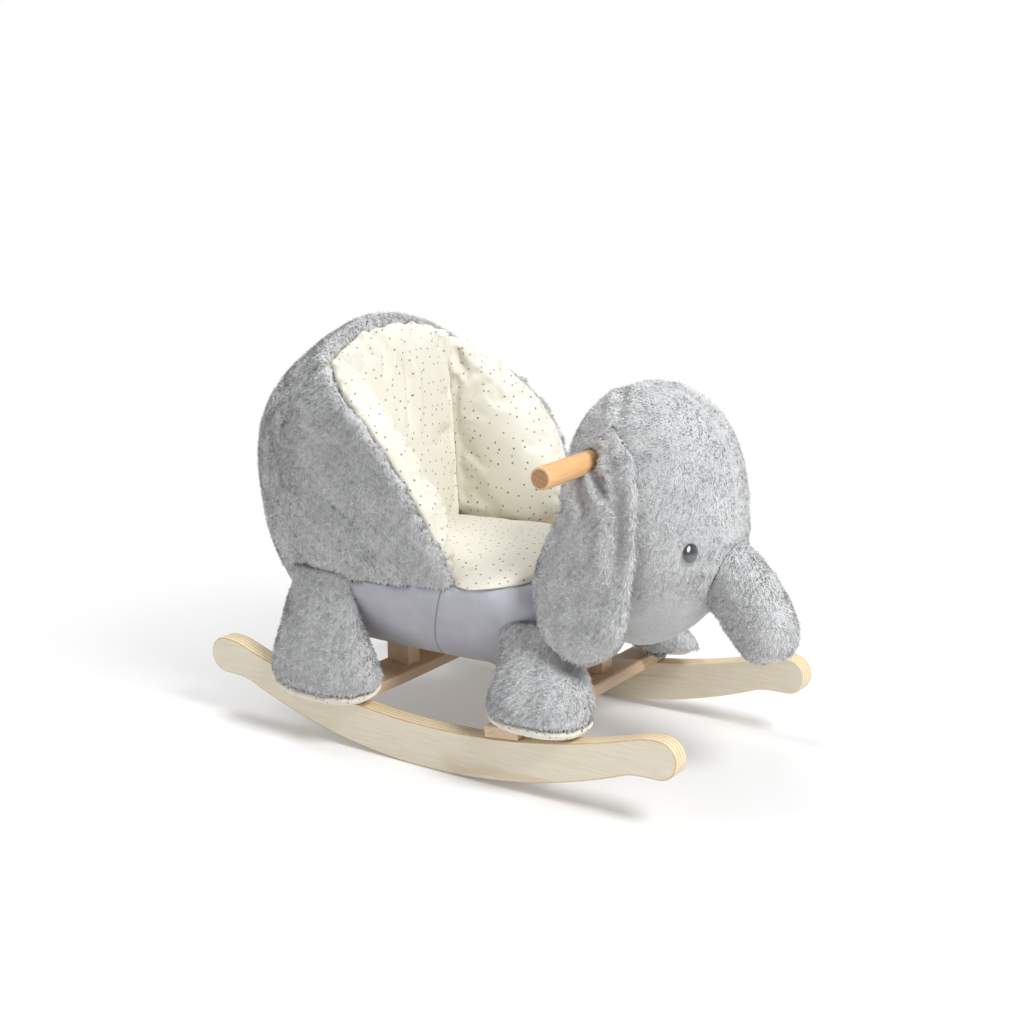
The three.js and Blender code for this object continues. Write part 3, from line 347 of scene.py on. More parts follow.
def fur():
    """Plush pile: painted shade darkens the skin between the tufts and their roots, pale at their tips, each
    tuft a little different
    """
    look = Look("grey_fur", roughness=0.9, sheen_weight=0.2, sheen_roughness=0.5, specular_ior_level=0.1)
    tip, tone = (node(look.tree, "Attribute", "Fac", attribute_name=name) for name in ("tip", "tone"))
    cloud = noise(look.place(), 26.0, 3.0, 0.6)
    grain = noise(look.place(1, 1, 0.5), 650.0, 2.0, 0.6)
    level = tone.spread(0, 1, -0.31, 0.31) + cloud.spread(0.3, 0.7, -0.10, 0.10)
    # Painted shade: the skin and the tufts' roots, low on the tip value, take the dark root colour
    level = level + grain.spread(0.35, 0.65, -0.10, 0.10) + tip.spread(0, 1, 0.30, 0.92)
    return look.colour(level.mix(FUR_ROOT_SHADE, FUR_TIP)).made


def velour():
    """Short smooth pile, bluish grey, with a cloudy nap and a stitched seam round the belly"""
    look = Look("grey_velour", roughness=0.85, sheen_weight=0.35, sheen_roughness=0.4, specular_ior_level=0.2)
    place = look.place()
    cloud = noise(place, 20.0, 3.0, 0.6)
    grain = noise(place, 900.0, 2.0, 0.6)
    colour = cloud.spread(0.35, 0.65).mix(VELOUR_DARK, VELOUR_PALE)
    colour = grain.spread(0.4, 0.7, 0, 0.25).mix(colour, VELOUR_GRAIN)
    x, z = axes(place, "X", "Z")
    away = abs(x - (z * VELOUR_SEAM.slope + VELOUR_SEAM.start))
    beat = (z * (2 * math.pi / VELOUR_SEAM.stitch)).maths("SINE")
    thread = away.spread(0.0006, 0.0013, 1, 0) * beat.spread(-0.3, 0.3, 0.5, 1)
    colour = (thread * 0.8).mix(colour, VELOUR_SEAM.thread)
    return look.colour(colour).relief(grain + away.spread(0, 0.004, -3.0, 0), 0.35, 0.0004)


def dotted_cotton():
    """Cream cotton printed with small uneven dark dots, which follow the cloth's own flat map"""
    look = Look(
        "dotted_cotton", roughness=0.8, sheen_weight=0.15, sheen_roughness=0.5, specular_ior_level=0.2)
    flat = look.flat()
    distance, chance = node(look.tree, "TexVoronoi", ("Distance", "Color"), {
        "Vector": flat, "Scale": DOTS.scale, "Randomness": DOTS.unevenness}, voronoi_dimensions="2D")
    inside = (distance + noise(flat, 2600.0, 1.0) * DOTS.ragged).spread(DOTS.full, DOTS.faded, 1, 0)
    strength, hue = axes(chance, "X", "Y")
    ink = hue.mix(*DOTS.inks)
    cloud = noise(look.place(), 14.0, 2.0)
    ground = cloud.spread(0.35, 0.65).mix(COTTON_DARK, COTTON_PALE)
    warp, weft = (node(look.tree, "TexWave", "Fac", {"Vector": flat, "Scale": WEAVE}, bands_direction=way)
                  for way in "XY")
    colour = (inside * strength.spread(0, 1, 0.55, 1.0)).mix(ground, ink)
    return look.colour(colour).relief(warp * weft + noise(flat, 160.0), 0.3, 0.0003)


def embroidery():
    """Satin stitch: upright threads, darker above, with painted shade between them and a white glint near the
    top, a painted highlight
    """
    look = Look("eye_thread", roughness=0.45, sheen_weight=0.2)
    flat = look.flat()
    across, up = axes(flat, "X", "Y")
    threads = node(look.tree, "TexWave", "Fac", {"Vector": flat, "Scale": 9.0, "Distortion": 0.8})
    colour = up.spread(-0.25, 0.15).mix(EYE_LOW, EYE_HIGH)
    # Painted shade in the gaps between the threads
    colour = threads.spread(0, 0.5, 0.35, 0).mix(colour, EYE_GAP_SHADE)
    # Painted highlight: a white glint near the top of the eye
    wide = across.maths("DIVIDE", EYE_PAINTED_GLINT.width).maths("POWER", 2)
    high = (up - EYE_PAINTED_GLINT.up).maths("DIVIDE", EYE_PAINTED_GLINT.height).maths("POWER", 2)
    colour = (wide + high).spread(0.8, 1.15, 1, 0).mix(colour, EYE_PAINTED_GLINT.colour)
    return look.colour(colour).relief(threads, 0.5, 0.0005)


# Meshes


def placed(name, data):
    """A new object in the scene"""
    made = bpy.data.objects.new(name, data)
    bpy.context.scene.collection.objects.link(made)
    return made


def settle(made, body, replaced):
    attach(made, body)
    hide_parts(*replaced)


def wooden(name, points, faces, flat_faces, finishes, flat_finish, replaced):
    """A smooth rigid piece of the frame, with flat faces in the one of its two finishes that is numbered"""
    mesh = bpy.data.meshes.new(name)
    mesh.from_pydata(points, [], faces)
    for each in finishes:
        mesh.materials.append(each)
    for polygon in mesh.polygons:
        polygon.use_smooth = polygon.index not in flat_faces
        polygon.material_index = 1 - flat_finish if polygon.use_smooth else flat_finish
    settle(placed(name, mesh), "frame", [replaced])


def rows_of(items, key):
    flat = np.empty(len(items) * 3)
    items.foreach_get(key, flat)
    return flat.reshape(-1, 3)


def points_of(mesh):
    return rows_of(mesh.vertices, "co")


def normals_of(mesh):
    return rows_of(mesh.vertex_normals, "vector")


def move_points(mesh, points):
    mesh.vertices.foreach_set("co", points.ravel())
    mesh.update()


def evaluated(made):
    return made.evaluated_get(bpy.context.evaluated_depsgraph_get())


def remeshed(nodes, voxel, rounds, plump=0.0):
    """A smooth even mesh of the space that some CAD nodes fill, grown by `plump`"""
    points, faces = [], []
    for name in nodes:
        data = NODES[name].data
        first = len(points)
        points += points_of(data).tolist()
        faces += [[first + i for i in p.vertices] for p in data.polygons]
    mesh = bpy.data.meshes.new("space")
    mesh.from_pydata(points, [], faces)
    made = placed("space", mesh)
    if plump:
        made.modifiers.new("weld", "WELD").merge_threshold = WELD_REACH
        grow = made.modifiers.new("grow", "DISPLACE")
        grow.strength, grow.mid_level = plump, 0.0
    grid = made.modifiers.new("grid", "REMESH")
    grid.mode, grid.voxel_size, grid.use_smooth_shade = "VOXEL", voxel, True
    ease = made.modifiers.new("ease", "SMOOTH")
    ease.factor, ease.iterations = 0.5, rounds
    result = bpy.data.meshes.new_from_object(evaluated(made))
    bpy.data.objects.remove(made)
    return result


def search_tree(points, polygons):
    return BVHTree.FromPolygons(points.tolist(), [tuple(p.vertices) for p in polygons])


def cad_trees(nodes):
    meshes = [NODES[name].data for name in nodes]
    return [search_tree(points_of(mesh), mesh.polygons) for mesh in meshes]


def shared_faces(nodes, neighbours):
    """Search trees of the faces at which neighbours touch these CAD nodes"""
    own, trees = cad_trees(nodes), []
    for mesh in [NODES[name].data for name in neighbours]:
        near = [p for p in mesh.polygons if any(tree.find_nearest(p.center)[3] < TOUCHING for tree in own)]
        if near:
            trees.append(search_tree(points_of(mesh), near))
    return trees


def closed_up(points, normals, trees, whole=None, reach=SEAM_REACH):
    """Points near a shared face moved onto its plane and out to the skin that covers both pieces"""
    moved = points.copy()
    for i, point in enumerate(points):
        for tree in trees:
            at, way, _, distance = tree.find_nearest(Vector(point), reach)
            if at is not None:
                way = np.array(way)
                share = float(smooth_step(np.float64(reach - distance), 0, reach * 0.5))
                moved[i] -= way * ((point - np.array(at)) @ way) * share
                skin = whole and whole.find_nearest(Vector(moved[i]), reach)[0]
                if skin:
                    outward = math.sqrt(max(0.0, 1 - (normals[i] @ way) ** 2))
                    moved[i] += (np.array(skin) - moved[i]) * share * min(1.0, outward * 1.4)
    return moved


def common_skin(nodes, voxel, rounds, sculpt):
    """Search tree of the skin of a piece and its neighbours together"""
    mesh = remeshed(nodes, voxel, rounds)
    points, normals = points_of(mesh), normals_of(mesh)
    if sculpt is not None:
        points = sculpt(points, normals)
    return search_tree(points - normals * SKIN_INSET, mesh.polygons)


def seam_hold(points, trees, reach=SEAM_REACH):
    """How firmly each point is held by a seam with a neighbour"""
    near = [min([tree.find_nearest(Vector(point), reach)[3] or reach for tree in trees] or [reach])
            for point in points]
    return 1 - smooth_step(np.array(near), reach * 0.3, reach)


def covered(points, normals, trees):
    """Which points have a neighbour close ahead of them"""
    return np.array([
        any(tree.ray_cast(Vector(point), Vector(normal), COVERED)[0] is not None for tree in trees)
        for point, normal in zip(points, normals)])


def crease(points, normals, path, depth, width, fade_in, swell=0.4, fade=0.35):
    """A furrow along a path, with a low ridge on both sides, that fades out at its ends"""
    runs = np.concatenate([[0], np.cumsum(np.linalg.norm(np.diff(path, axis=0), axis=1))])
    nearest, place = np.full(len(points), np.inf), np.zeros(len(points))
    for i, (a, b) in enumerate(zip(path[:-1], path[1:])):
        share = np.clip((points - a) @ (b - a) / ((b - a) @ (b - a)), 0, 1)
        gap = np.linalg.norm(points - a - share[:, None] * (b - a), axis=1)
        closer = gap < nearest
        nearest[closer] = gap[closer]
        place[closer] = ((runs[i] + share * (runs[i + 1] - runs[i])) / runs[-1])[closer]
    ends = smooth_step(1 - place, 0, fade) * (smooth_step(place, 0, fade) if fade_in else 1)
    away = nearest / width
    shape = swell * np.exp(-((away - 2) / 0.8) ** 2) - np.exp(-away ** 2)
    return points + normals * (depth * shape * ends)[:, None]


def creased(lines, sign=-1):
    """Furrows listed for the right side, laid on a surface on either side"""
    def shape(points, normals):
        for depth, width, fade_in, *path in lines:
            path = np.array(path) / MILLIMETRES * (1, -sign, 1)
            path = np.array([points[np.argmin(np.linalg.norm(points - at, axis=1))] for at in path])
            points = crease(points, normals, path, depth / MILLIMETRES, width / MILLIMETRES, fade_in)
        return points
    return shape


# Fur


def tuft_mesh(roots, normals, combs, lengths, widths, rng):
    """Closed spikes on three root points that lean along the comb"""
    count = len(roots)
    across = unit(np.cross(normals, combs))
    lean = np.radians(TUFT.lean + rng.normal(0, TUFT.spread, count))[:, None]
    length, width = lengths[:, None], widths[:, None]
    root = roots - normals * TUFT.sink
    tip = root + length * (np.cos(lean) * normals + np.sin(lean) * combs)
    keel = unit(np.cos(lean) * combs - np.sin(lean) * normals) * TUFT.keel
    points = np.stack([root + across * width / 2, root - across * width / 2, root + keel, tip], 1)
    first = np.arange(count)[:, None] * 4
    sides = np.array([[0, 1, 3], [1, 2, 3], [2, 0, 3], [0, 2, 1]])
    return points.reshape(-1, 3), (first + sides.reshape(1, -1)).reshape(-1, 3)


def raw_mesh(name, points, *groups):
    """A mesh from arrays of points and of faces with equal corner counts"""
    loops = np.concatenate([g.reshape(-1) for g in groups])
    sizes = np.concatenate([np.full(len(g), g.shape[1]) for g in groups])
    mesh = bpy.data.meshes.new(name)
    mesh.vertices.add(len(points))
    mesh.vertices.foreach_set("co", points.ravel())
    mesh.loops.add(len(loops))
    mesh.loops.foreach_set("vertex_index", loops.astype(np.int32))
    mesh.polygons.add(len(sizes))
    mesh.polygons.foreach_set("loop_start", (np.cumsum(sizes) - sizes).astype(np.int32))
    mesh.update(calc_edges=True)
    mesh.polygons.foreach_set("use_smooth", np.ones(len(sizes), bool))
    return mesh, loops


def add_values(mesh, name, values):
    mesh.attributes.new(name, "FLOAT", "POINT").data.foreach_set("value", values.astype(np.float32))


def fur_map(mesh, loops, skin_points, skin_corners, tufts):
    """A flat map for every corner: the skin above, and below it a small cell for each tuft"""
    cells = 0.8
    low, high = skin_points.min(0), skin_points.max(0)
    share = (skin_points - low) / (high - low)
    flat = np.empty((len(loops), 2))
    flat[:skin_corners, 0] = share[loops[:skin_corners], 0]
    flat[:skin_corners, 1] = cells + (1 - cells) * share[loops[:skin_corners], 2]
    columns = max(1, math.ceil(math.sqrt(tufts / cells)))
    number, place = np.divmod(loops[skin_corners:] - len(skin_points), 4)
    across = np.array([0.15, 0.85, 0.5, 0.5])[place]
    along = np.array([0.1, 0.1, 0.3, 0.9])[place]
    flat[skin_corners:, 0] = (number % columns + across) / columns
    flat[skin_corners:, 1] = (number // columns + along) / columns
    mesh.uv_layers.new(name="OFBake").data.foreach_set("uv", flat.ravel())


def scattered(points, normals, furry, faces, rng):
    """Roots spread evenly over faces: their places, the skin's direction there and the fur's height"""
    corners = points[faces]
    spans = np.linalg.norm(np.cross(corners[:, 2] - corners[:, 0], corners[:, 3] - corners[:, 1]), axis=1) / 2
    count = int(min(MOST_TUFTS, spans.sum() / TUFT_PATCH))
    steps = (np.arange(count) + rng.uniform(0, 1, count)) / count
    chosen = faces[np.searchsorted(np.cumsum(spans) / spans.sum(), steps).clip(0, len(faces) - 1)]
    u, v = rng.uniform(0, 1, (2, count))
    shares = np.stack([(1 - u) * (1 - v), u * (1 - v), u * v, (1 - u) * v], 1)
    roots = np.einsum("ij,ijk->ik", shares, points[chosen])
    ways = unit(np.einsum("ij,ijk->ik", shares, normals[chosen]))
    return roots, ways, np.einsum("ij,ij->i", shares, furry[chosen])


def combed(roots, ways, comb, rng, seed):
    """The direction in which each tuft lies: along the comb, in swirls and curls"""
    lay = np.tile(np.array(comb, float), (len(roots), 1))
    lay[:, 1] *= np.sign(roots[:, 1])
    swirl = 0.6 * ripple(roots, 0.040, seed + 1) + 0.7 * ripple(roots, 0.010, seed + 2)
    swirl += rng.normal(0, 0.35, len(roots))
    lay = unit(lay - ways * np.sum(lay * ways, 1, keepdims=True))
    return lay * np.cos(swirl)[:, None] + np.cross(ways, lay) * np.sin(swirl)[:, None]


def fur_piece(name, nodes, body, comb, hidden_by, seed, joined=(), sculpt=None, pile=None, rounds=3,
              voxel=SKIN_VOXEL, plump=0.0):
    """A stuffed piece under fur, in the space of its CAD nodes"""
    rng = np.random.default_rng(seed)
    skin = remeshed(nodes, voxel, rounds, plump)
    points, normals = points_of(skin), normals_of(skin)
    if sculpt is not None:
        points = sculpt(points, normals)
        move_points(skin, points)
        normals = normals_of(skin)
    furry = np.ones(len(points)) if pile is None else pile(points)
    points = points - normals * (SKIN_INSET * furry)[:, None]
    if joined:
        whole = common_skin([*nodes, *joined], voxel, rounds, sculpt)
        points = closed_up(points, normals, shared_faces(nodes, joined), whole, FUR_SEAM_REACH)
    faces = np.array([(*p.vertices, p.vertices[-1])[:4] for p in skin.polygons])
    bare = covered(points[faces].mean(1), unit(normals[faces].sum(1)), cad_trees(hidden_by))
    roots, ways, thick = scattered(points, normals, furry, faces[~bare], rng)
    lay = combed(roots, ways, comb, rng, seed)
    size = thick * (1 + 0.16 * ripple(roots, 0.02, seed + 3)) * rng.uniform(0.75, 1.25, len(roots))
    tuft_points, spikes = tuft_mesh(
        roots, ways, lay, TUFT.length * size, TUFT.width * rng.uniform(0.65, 1.25, len(roots)), rng)
    shift = len(points)
    mesh, loops = raw_mesh(name, np.concatenate([points, tuft_points]), faces, spikes + shift)
    # Tip value: the skin at 0.25 and each tuft's root at 0 get the dark root colour, painted shade between
    # the tufts
    add_values(mesh, "tip", np.concatenate([np.full(shift, 0.25), np.tile([0, 0, 0, 1.0], len(roots))]))
    tone = 0.5 + TONE_WAVE * ripple(roots, 0.0065, seed + 4)
    tone += rng.uniform(-TONE_CHANCE, TONE_CHANCE, len(roots))
    add_values(mesh, "tone", np.concatenate([np.full(shift, 0.5), np.repeat(tone, 4)]))
    fur_map(mesh, loops, points, faces.size, len(roots))
    soft = np.repeat(ways + rng.normal(0, TUFT_JITTER, ways.shape), 4, 0)
    soft = unit(soft + TUFT_ROUNDING * normals_of(mesh)[shift:])
    mesh.normals_split_custom_set_from_vertices(np.concatenate([normals, soft]))
    mesh.materials.append(FUR)
    made = placed(name, mesh)
    settle(made, body, nodes)


# Smooth stuffed cloth


def swollen(mesh, held, cap, growth):
    """Points of the cloth once its stuffing has pushed it out; `held` keeps some in place, from 0 to 1"""
    made = placed("swelling", mesh.copy())
    group = made.vertex_groups.new(name="held")
    for i, share in enumerate(held):
        group.add([i], float(share), "REPLACE")
    cloth = made.modifiers.new("cloth", "CLOTH")
    fabric = cloth.settings
    fabric.mass, fabric.bending_stiffness = SWELL.mass, SWELL.bending
    fabric.tension_stiffness = fabric.compression_stiffness = SWELL.stiffness
    fabric.shear_stiffness = SWELL.shear
    fabric.use_pressure, fabric.uniform_pressure_force = True, SWELL.pressure
    fabric.shrink_min = -growth
    fabric.vertex_group_mass, fabric.pin_stiffness = "held", 1.0
    fabric.effector_weights.gravity = 0
    cloth.collision_settings.use_collision = False
    cloth.point_cache.frame_start, cloth.point_cache.frame_end = 1, SWELL.frames
    for frame_number in range(1, SWELL.frames + 1):
        bpy.context.scene.frame_set(frame_number)
    start = points_of(mesh)
    step = points_of(evaluated(made).data) - start
    bpy.context.scene.frame_set(1)
    bpy.data.objects.remove(made)
    size = np.maximum(np.linalg.norm(step, axis=1, keepdims=True), 1e-9)
    return start + step / size * cap * np.tanh(size / cap)


def unwrapped(made):
    """A flat map in metres, in patches that each face one way"""
    mesh = made.data
    layer = mesh.uv_layers.new(name="cloth")
    mesh.uv_layers.active = layer
    bpy.context.view_layer.objects.active = made
    made.select_set(True)
    bpy.ops.object.mode_set(mode="EDIT")
    bpy.ops.mesh.select_all(action="SELECT")
    bpy.ops.uv.smart_project(angle_limit=PATCH_ANGLE, island_margin=PATCH_GAP)
    bpy.ops.object.mode_set(mode="OBJECT")
    made.select_set(False)
    flat = np.empty(len(mesh.loops) * 2)
    mesh.uv_layers["cloth"].data.foreach_get("uv", flat)
    u, v = flat.reshape(-1, 2).T
    drawn = 0.0
    for p in mesh.polygons:
        some = slice(p.loop_start, p.loop_start + p.loop_total)
        drawn += abs(np.dot(u[some], np.roll(v[some], 1)) - np.dot(v[some], np.roll(u[some], 1))) / 2
    area = sum(p.area for p in mesh.polygons)
    mesh.uv_layers["cloth"].data.foreach_set("uv", flat * math.sqrt(area / drawn))


def cloth_piece(name, nodes, body, finish, flat=None, held=None, cap=0.008, growth=0.05, joined=(),
                sculpt=None, after=None, rounds=5, voxel=CLOTH_VOXEL, mesh=None):
    """A padded piece under plain cloth, in the space of its CAD nodes, with a flat map for its print"""
    mesh = mesh or remeshed(nodes, voxel, rounds)
    points = points_of(mesh)
    if sculpt is not None:
        points = sculpt(points, normals_of(mesh))
    seams = shared_faces(nodes, joined)
    points = closed_up(points, normals_of(mesh), seams)
    move_points(mesh, points)
    if held is not None:
        firm = np.maximum(held(normals_of(mesh)), seam_hold(points, seams))
        move_points(mesh, swollen(mesh, firm, cap, growth))
    mesh.name = name
    made = placed(name, mesh)
    if finish == COTTON:
        unwrapped(made)
    grow = made.modifiers.new("finer", "SUBSURF")
    grow.levels = grow.render_levels = 1
    fine = bpy.data.meshes.new_from_object(evaluated(made))
    made.modifiers.clear()
    made.data = fine
    if after is not None:
        move_points(fine, after(points_of(fine), normals_of(fine)))
    if flat is not None:
        loops = np.empty(len(fine.loops), np.int32)
        fine.loops.foreach_get("vertex_index", loops)
        fine.uv_layers.new(name="cloth").data.foreach_set("uv", flat(points_of(fine))[loops].ravel())
    fine.polygons.foreach_set("use_smooth", np.ones(len(fine.polygons), bool))
    fine.materials.clear()
    fine.materials.append(finish)
    settle(made, body, nodes)


def bands(count, rings):
    """Faces between rings of points"""
    steps = [(i, (i + 1) % count) for i in range(count)]
    return [(first + i, first + j, first + count + j, first + count + i)
            for first in range(0, (rings - 1) * count, count) for i, j in steps]


def seat_ring(share, radius, angles):
    """One ring of the cushion's plan, with the height of the seam and of the crown above it"""
    x = SEAT.middle_x + share * radius * np.cos(angles)
    y = share * radius * np.sin(angles)
    crown = SEAT.top + SEAT.top_slope * x - SEAT.crown * (y / SEAT.half_width) ** 2
    return x, y, SEAT.seam + SEAT.seam_slope * x, crown


def seat_mesh():
    """The seat cushion: crowned above, rolled down to the seam with the velour in front, flat beneath"""
    plan = np.concatenate([SEAT_PLAN, (SEAT_PLAN * (1, -1))[-2:0:-1]]) - (SEAT.middle_x, 0)
    bearing, reach = np.arctan2(plan[:, 1], plan[:, 0]), np.hypot(plan[:, 0], plan[:, 1])
    order = np.argsort(bearing)
    angles = np.linspace(-math.pi, math.pi, SEAT.around, endpoint=False)
    radius = np.interp(angles, bearing[order], reach[order], period=2 * math.pi)
    radius = sum(np.roll(radius, k) * w for k, w in ((-2, 1), (-1, 2), (0, 3), (1, 2), (2, 1))) / 9
    roll = SEAT.rear_roll + (SEAT.front_roll - SEAT.rear_roll) * smooth_step(
        radius * np.cos(angles) + SEAT.middle_x, -0.03, 0.02)
    points = []
    for share in np.linspace(0, 1, SEAT.rings + 1)[1:] ** 0.8:
        x, y, seam, top = seat_ring(share, radius, angles)
        inward = np.clip(1 - (1 - share) * radius / roll, 0, 1)
        points.append(np.stack([x, y, seam + (top - seam) * (1 - inward ** 2.4) ** (1 / 2.2)], 1))
    for share in np.linspace(0.985, 0, SEAT.under_rings, endpoint=False):
        x, y, seam, _ = seat_ring(share, radius, angles)
        points.append(np.stack([x, y, seam - SEAT.under], 1))
    x, y, seam, top = seat_ring(0, 0, 0)
    count, rings = SEAT.around, len(points)
    last = (rings - 1) * count
    faces = [(f[0], *f[:0:-1]) for f in bands(count, rings)]
    faces += [(rings * count, i, (i + 1) % count) for i in range(count)]
    faces += [(rings * count + 1, last + (i + 1) % count, last + i) for i in range(count)]
    mesh = bpy.data.meshes.new("seat")
    middles = [[(x, y, top)], [(x, y, seam - SEAT.under)]]
    mesh.from_pydata(np.concatenate(points + middles).tolist(), [], faces)
    mesh.update()
    return mesh


# Rockers and handle


def arc_rise(radius, x):
    return radius - math.sqrt(radius * radius - x * x)


def top_edge(x):
    return ROCKER.depth + arc_rise(ROCKER.top_radius, x)


def curve_points(start, pull, end, count):
    """Points between the ends of a curve that is pulled towards a third point"""
    start, pull, end = np.array(start), np.array(pull), np.array(end)
    return [tuple((1 - t) ** 2 * start + 2 * t * (1 - t) * pull + t * t * end)
            for t in np.linspace(0, 1, count)[1:-1]]


def rocker_outline():
    """The side view, from the middle of the sole round the front knob, the top and the rear knob"""
    r = ROCKER
    knob_x, first = r.length / 2 - r.knob_radius, r.sole_reach / 15
    sole = [(x, arc_rise(r.sole_radius, x) - arc_rise(r.sole_radius, first))
            for x in np.linspace(first, r.sole_reach, 40)]
    low = (knob_x, r.knob_height - r.knob_radius)
    step = curve_points(sole[-1], (sole[-1][0] + r.step_run, low[1]), low, 8)
    knob = [(knob_x + r.knob_radius * math.cos(a), r.knob_height + r.knob_radius * math.sin(a))
            for a in np.linspace(-math.pi / 2, math.pi / 2, 28)]
    edge = (r.top_reach, top_edge(r.top_reach))
    shoulder = curve_points(knob[-1], (edge[0] + r.shoulder_run, knob[-1][1]), edge, 7)
    top = [(x, top_edge(x)) for x in np.linspace(r.top_reach, 0, 60)]
    half = sole + step + knob + shoulder + top
    return half + [(-x, z) for x, z in reversed(half[:-1])]


def seated(x, z):
    """A point of the top edge lowered into the flat seat of a cross bar"""
    for centre in (BAR.front, BAR.rear):
        lean = math.asin(centre / ROCKER.top_radius)
        if abs(x - centre) < BAR.width / 2 * math.cos(lean) and z > arc_rise(ROCKER.top_radius, x) + 0.04:
            return top_edge(centre) + (x - centre) * math.tan(lean) - BAR.gap
    return z


def inset(outline, distance):
    """A closed outline, listed anticlockwise, moved inwards"""
    points = np.array(outline)
    way = unit(np.roll(points, -1, 0) - np.roll(points, 1, 0))
    return points + np.stack([-way[:, 1], way[:, 0]], 1) * distance


def make_rockers(face, edge):
    outline = [(x, seated(x, z)) for x, z in rocker_outline()]
    count = len(outline)
    loops = [(ROCKER.edge * (1 - math.sin(a)), ROCKER.edge * (1 - math.cos(a)))
             for a in np.linspace(0, math.pi / 2, 4)]
    loops += [(cut, ROCKER.thickness - depth) for cut, depth in reversed(loops)]
    for side, sign in SIDES:
        points = [(x + MIDDLE, sign * (ROCKER_INNER + depth), z)
                  for cut, depth in loops for x, z in inset(outline, cut)]
        faces = [tuple(reversed(range(count))), tuple(range(len(points) - count, len(points)))]
        faces += bands(count, len(loops))
        if sign > 0:
            faces = [tuple(reversed(f)) for f in faces]
        wooden(f"rocker_{side}_board", points, faces, (0, 1), [face, edge], 0, f"rocker_{side}")


def make_handle(side_finish, end_finish):
    """Turned dowel with rounded ends, along Y"""
    straight, flat = HANDLE.half - HANDLE.edge, HANDLE.radius - HANDLE.edge
    profile = [(flat + HANDLE.edge * math.sin(a), straight + HANDLE.edge * math.cos(a))
               for a in np.linspace(0, math.pi / 2, 6)]
    profile += [(HANDLE.radius, y) for y in np.linspace(straight, 0, 12)[1:]]
    profile += [(r, -y) for r, y in reversed(profile[:-1])]
    turns = [2 * math.pi * i / HANDLE.sides for i in range(HANDLE.sides)]
    points = [(HANDLE.x + r * math.cos(a), y, HANDLE.z + r * math.sin(a)) for r, y in profile for a in turns]
    faces = bands(HANDLE.sides, len(profile))
    ends = (len(faces), len(faces) + 1)
    faces += [tuple(reversed(range(HANDLE.sides))), tuple(range(len(points) - HANDLE.sides, len(points)))]
    wooden("handle_rod", points, faces, ends, [side_finish, end_finish], 1, "handle_dowel")


# Stage


def make_stage():
    look = Look("floor", roughness=0.9, specular_ior_level=0.1, base_color=(0.9, 0.9, 0.9, 1))
    glow = node(look.tree, "Emission", 0, {"Color": (1, 1, 1, 1), "Strength": 1.0})
    place = node(look.tree, "TexCoord", "Object")
    distance = node(look.tree, "VectorMath", "Value", {0: place}, operation="LENGTH")
    share = seen(look.tree, "Is Glossy Ray") * distance.spread(
        FLOOR.glow_from, FLOOR.glow_to, FLOOR.glow_least, 1.0)
    feed(look.tree.nodes["Material Output"].inputs["Surface"], node(look.tree, "MixShader", 0, {
        0: share, 1: Value(look.shader.outputs[0]), 2: glow}))
    mesh = bpy.data.meshes.new("floor")
    mesh.from_pydata([(x * FLOOR.reach, y * FLOOR.reach, 0) for x, y in ((-1, -1), (1, -1), (1, 1), (-1, 1))],
                     [], [(0, 1, 2, 3)])
    mesh.materials.append(look.made)
    placed("floor", mesh)


def turn_to(made, way):
    made.rotation_mode = "QUATERNION"
    made.rotation_quaternion = way.to_track_quat("Z", "Y")


def make_lights():
    world = bpy.data.worlds.new("studio")
    bpy.context.scene.world = world
    world.use_nodes = True
    back = world.node_tree.nodes["Background"]
    feed(back.inputs["Strength"], seen(world.node_tree, "Is Transmission Ray").spread(0, 1, WORLD_LIGHT, 1.0))
    feed(back.inputs["Color"], (1, 1, 1, 1))
    for name, (at, size, power) in LAMPS.items():
        data = bpy.data.lights.new(name, "AREA")
        data.shape, data.size, data.energy = "DISK", size, power
        lamp = placed(name, data)
        lamp.location = at
        turn_to(lamp, Vector(at) - LAMPS_AIM)


def make_camera():
    data = bpy.data.cameras.new("camera")
    data.lens, data.sensor_width = CAMERA_LENS, CAMERA_SENSOR
    data.clip_start, data.clip_end = CAMERA_CLIP
    camera = placed("camera", data)
    camera.location = CAMERA_AT
    level, height = math.cos(CAMERA_PITCH), math.sin(CAMERA_PITCH)
    turn_to(camera, Vector((math.sin(CAMERA_YAW) * level, -math.cos(CAMERA_YAW) * level, height)))
    bpy.context.scene.camera = camera


# How each soft piece is held and shaped


def eye_flat(points):
    """The eye seen from the side, from -1 to 1 both ways"""
    low, high = points.min(0), points.max(0)
    return ((points - (low + high) / 2) / (high - low) * 2)[:, [0, 2]]


def held_way(*way, from_, to):
    """How firmly each point is held, by how much its direction leans towards `way`"""
    return lambda normals: smooth_step(normals @ np.array(way), from_, to)


def eye_sunk(points, normals):
    """The stitches lie deep in the fur"""
    outward = points.mean(0) * (1, 1, 0) - (HEAD_X, 0, 0)
    return points - unit(outward[None]) * EYE_DEPTH


def rim_raised(points, normals):
    """The fur's top edge is thick and stands above the lining"""
    folded = points.copy()
    folded[:, 1] = np.abs(folded[:, 1])
    gap = np.full(len(points), np.inf)
    for a, b in zip(RIM[:-1], RIM[1:]):
        share = np.clip((folded - a) @ (b - a) / ((b - a) @ (b - a)), 0, 1)[:, None]
        gap = np.minimum(gap, np.linalg.norm(folded - a - share * (b - a), axis=1))
    rise = RIM_RISE * np.exp(-(gap / RIM_WIDTH) ** 2)
    return points + normals * rise[:, None]


def drawn_in(points, normals):
    """The lining keeps inside the fur's top edge"""
    way = SEAT_MIDDLE - points
    reach = np.linalg.norm(way, axis=1)
    return points + way * (LINING_DRAW * smooth_step(reach, 0.10, 0.22))[:, None]


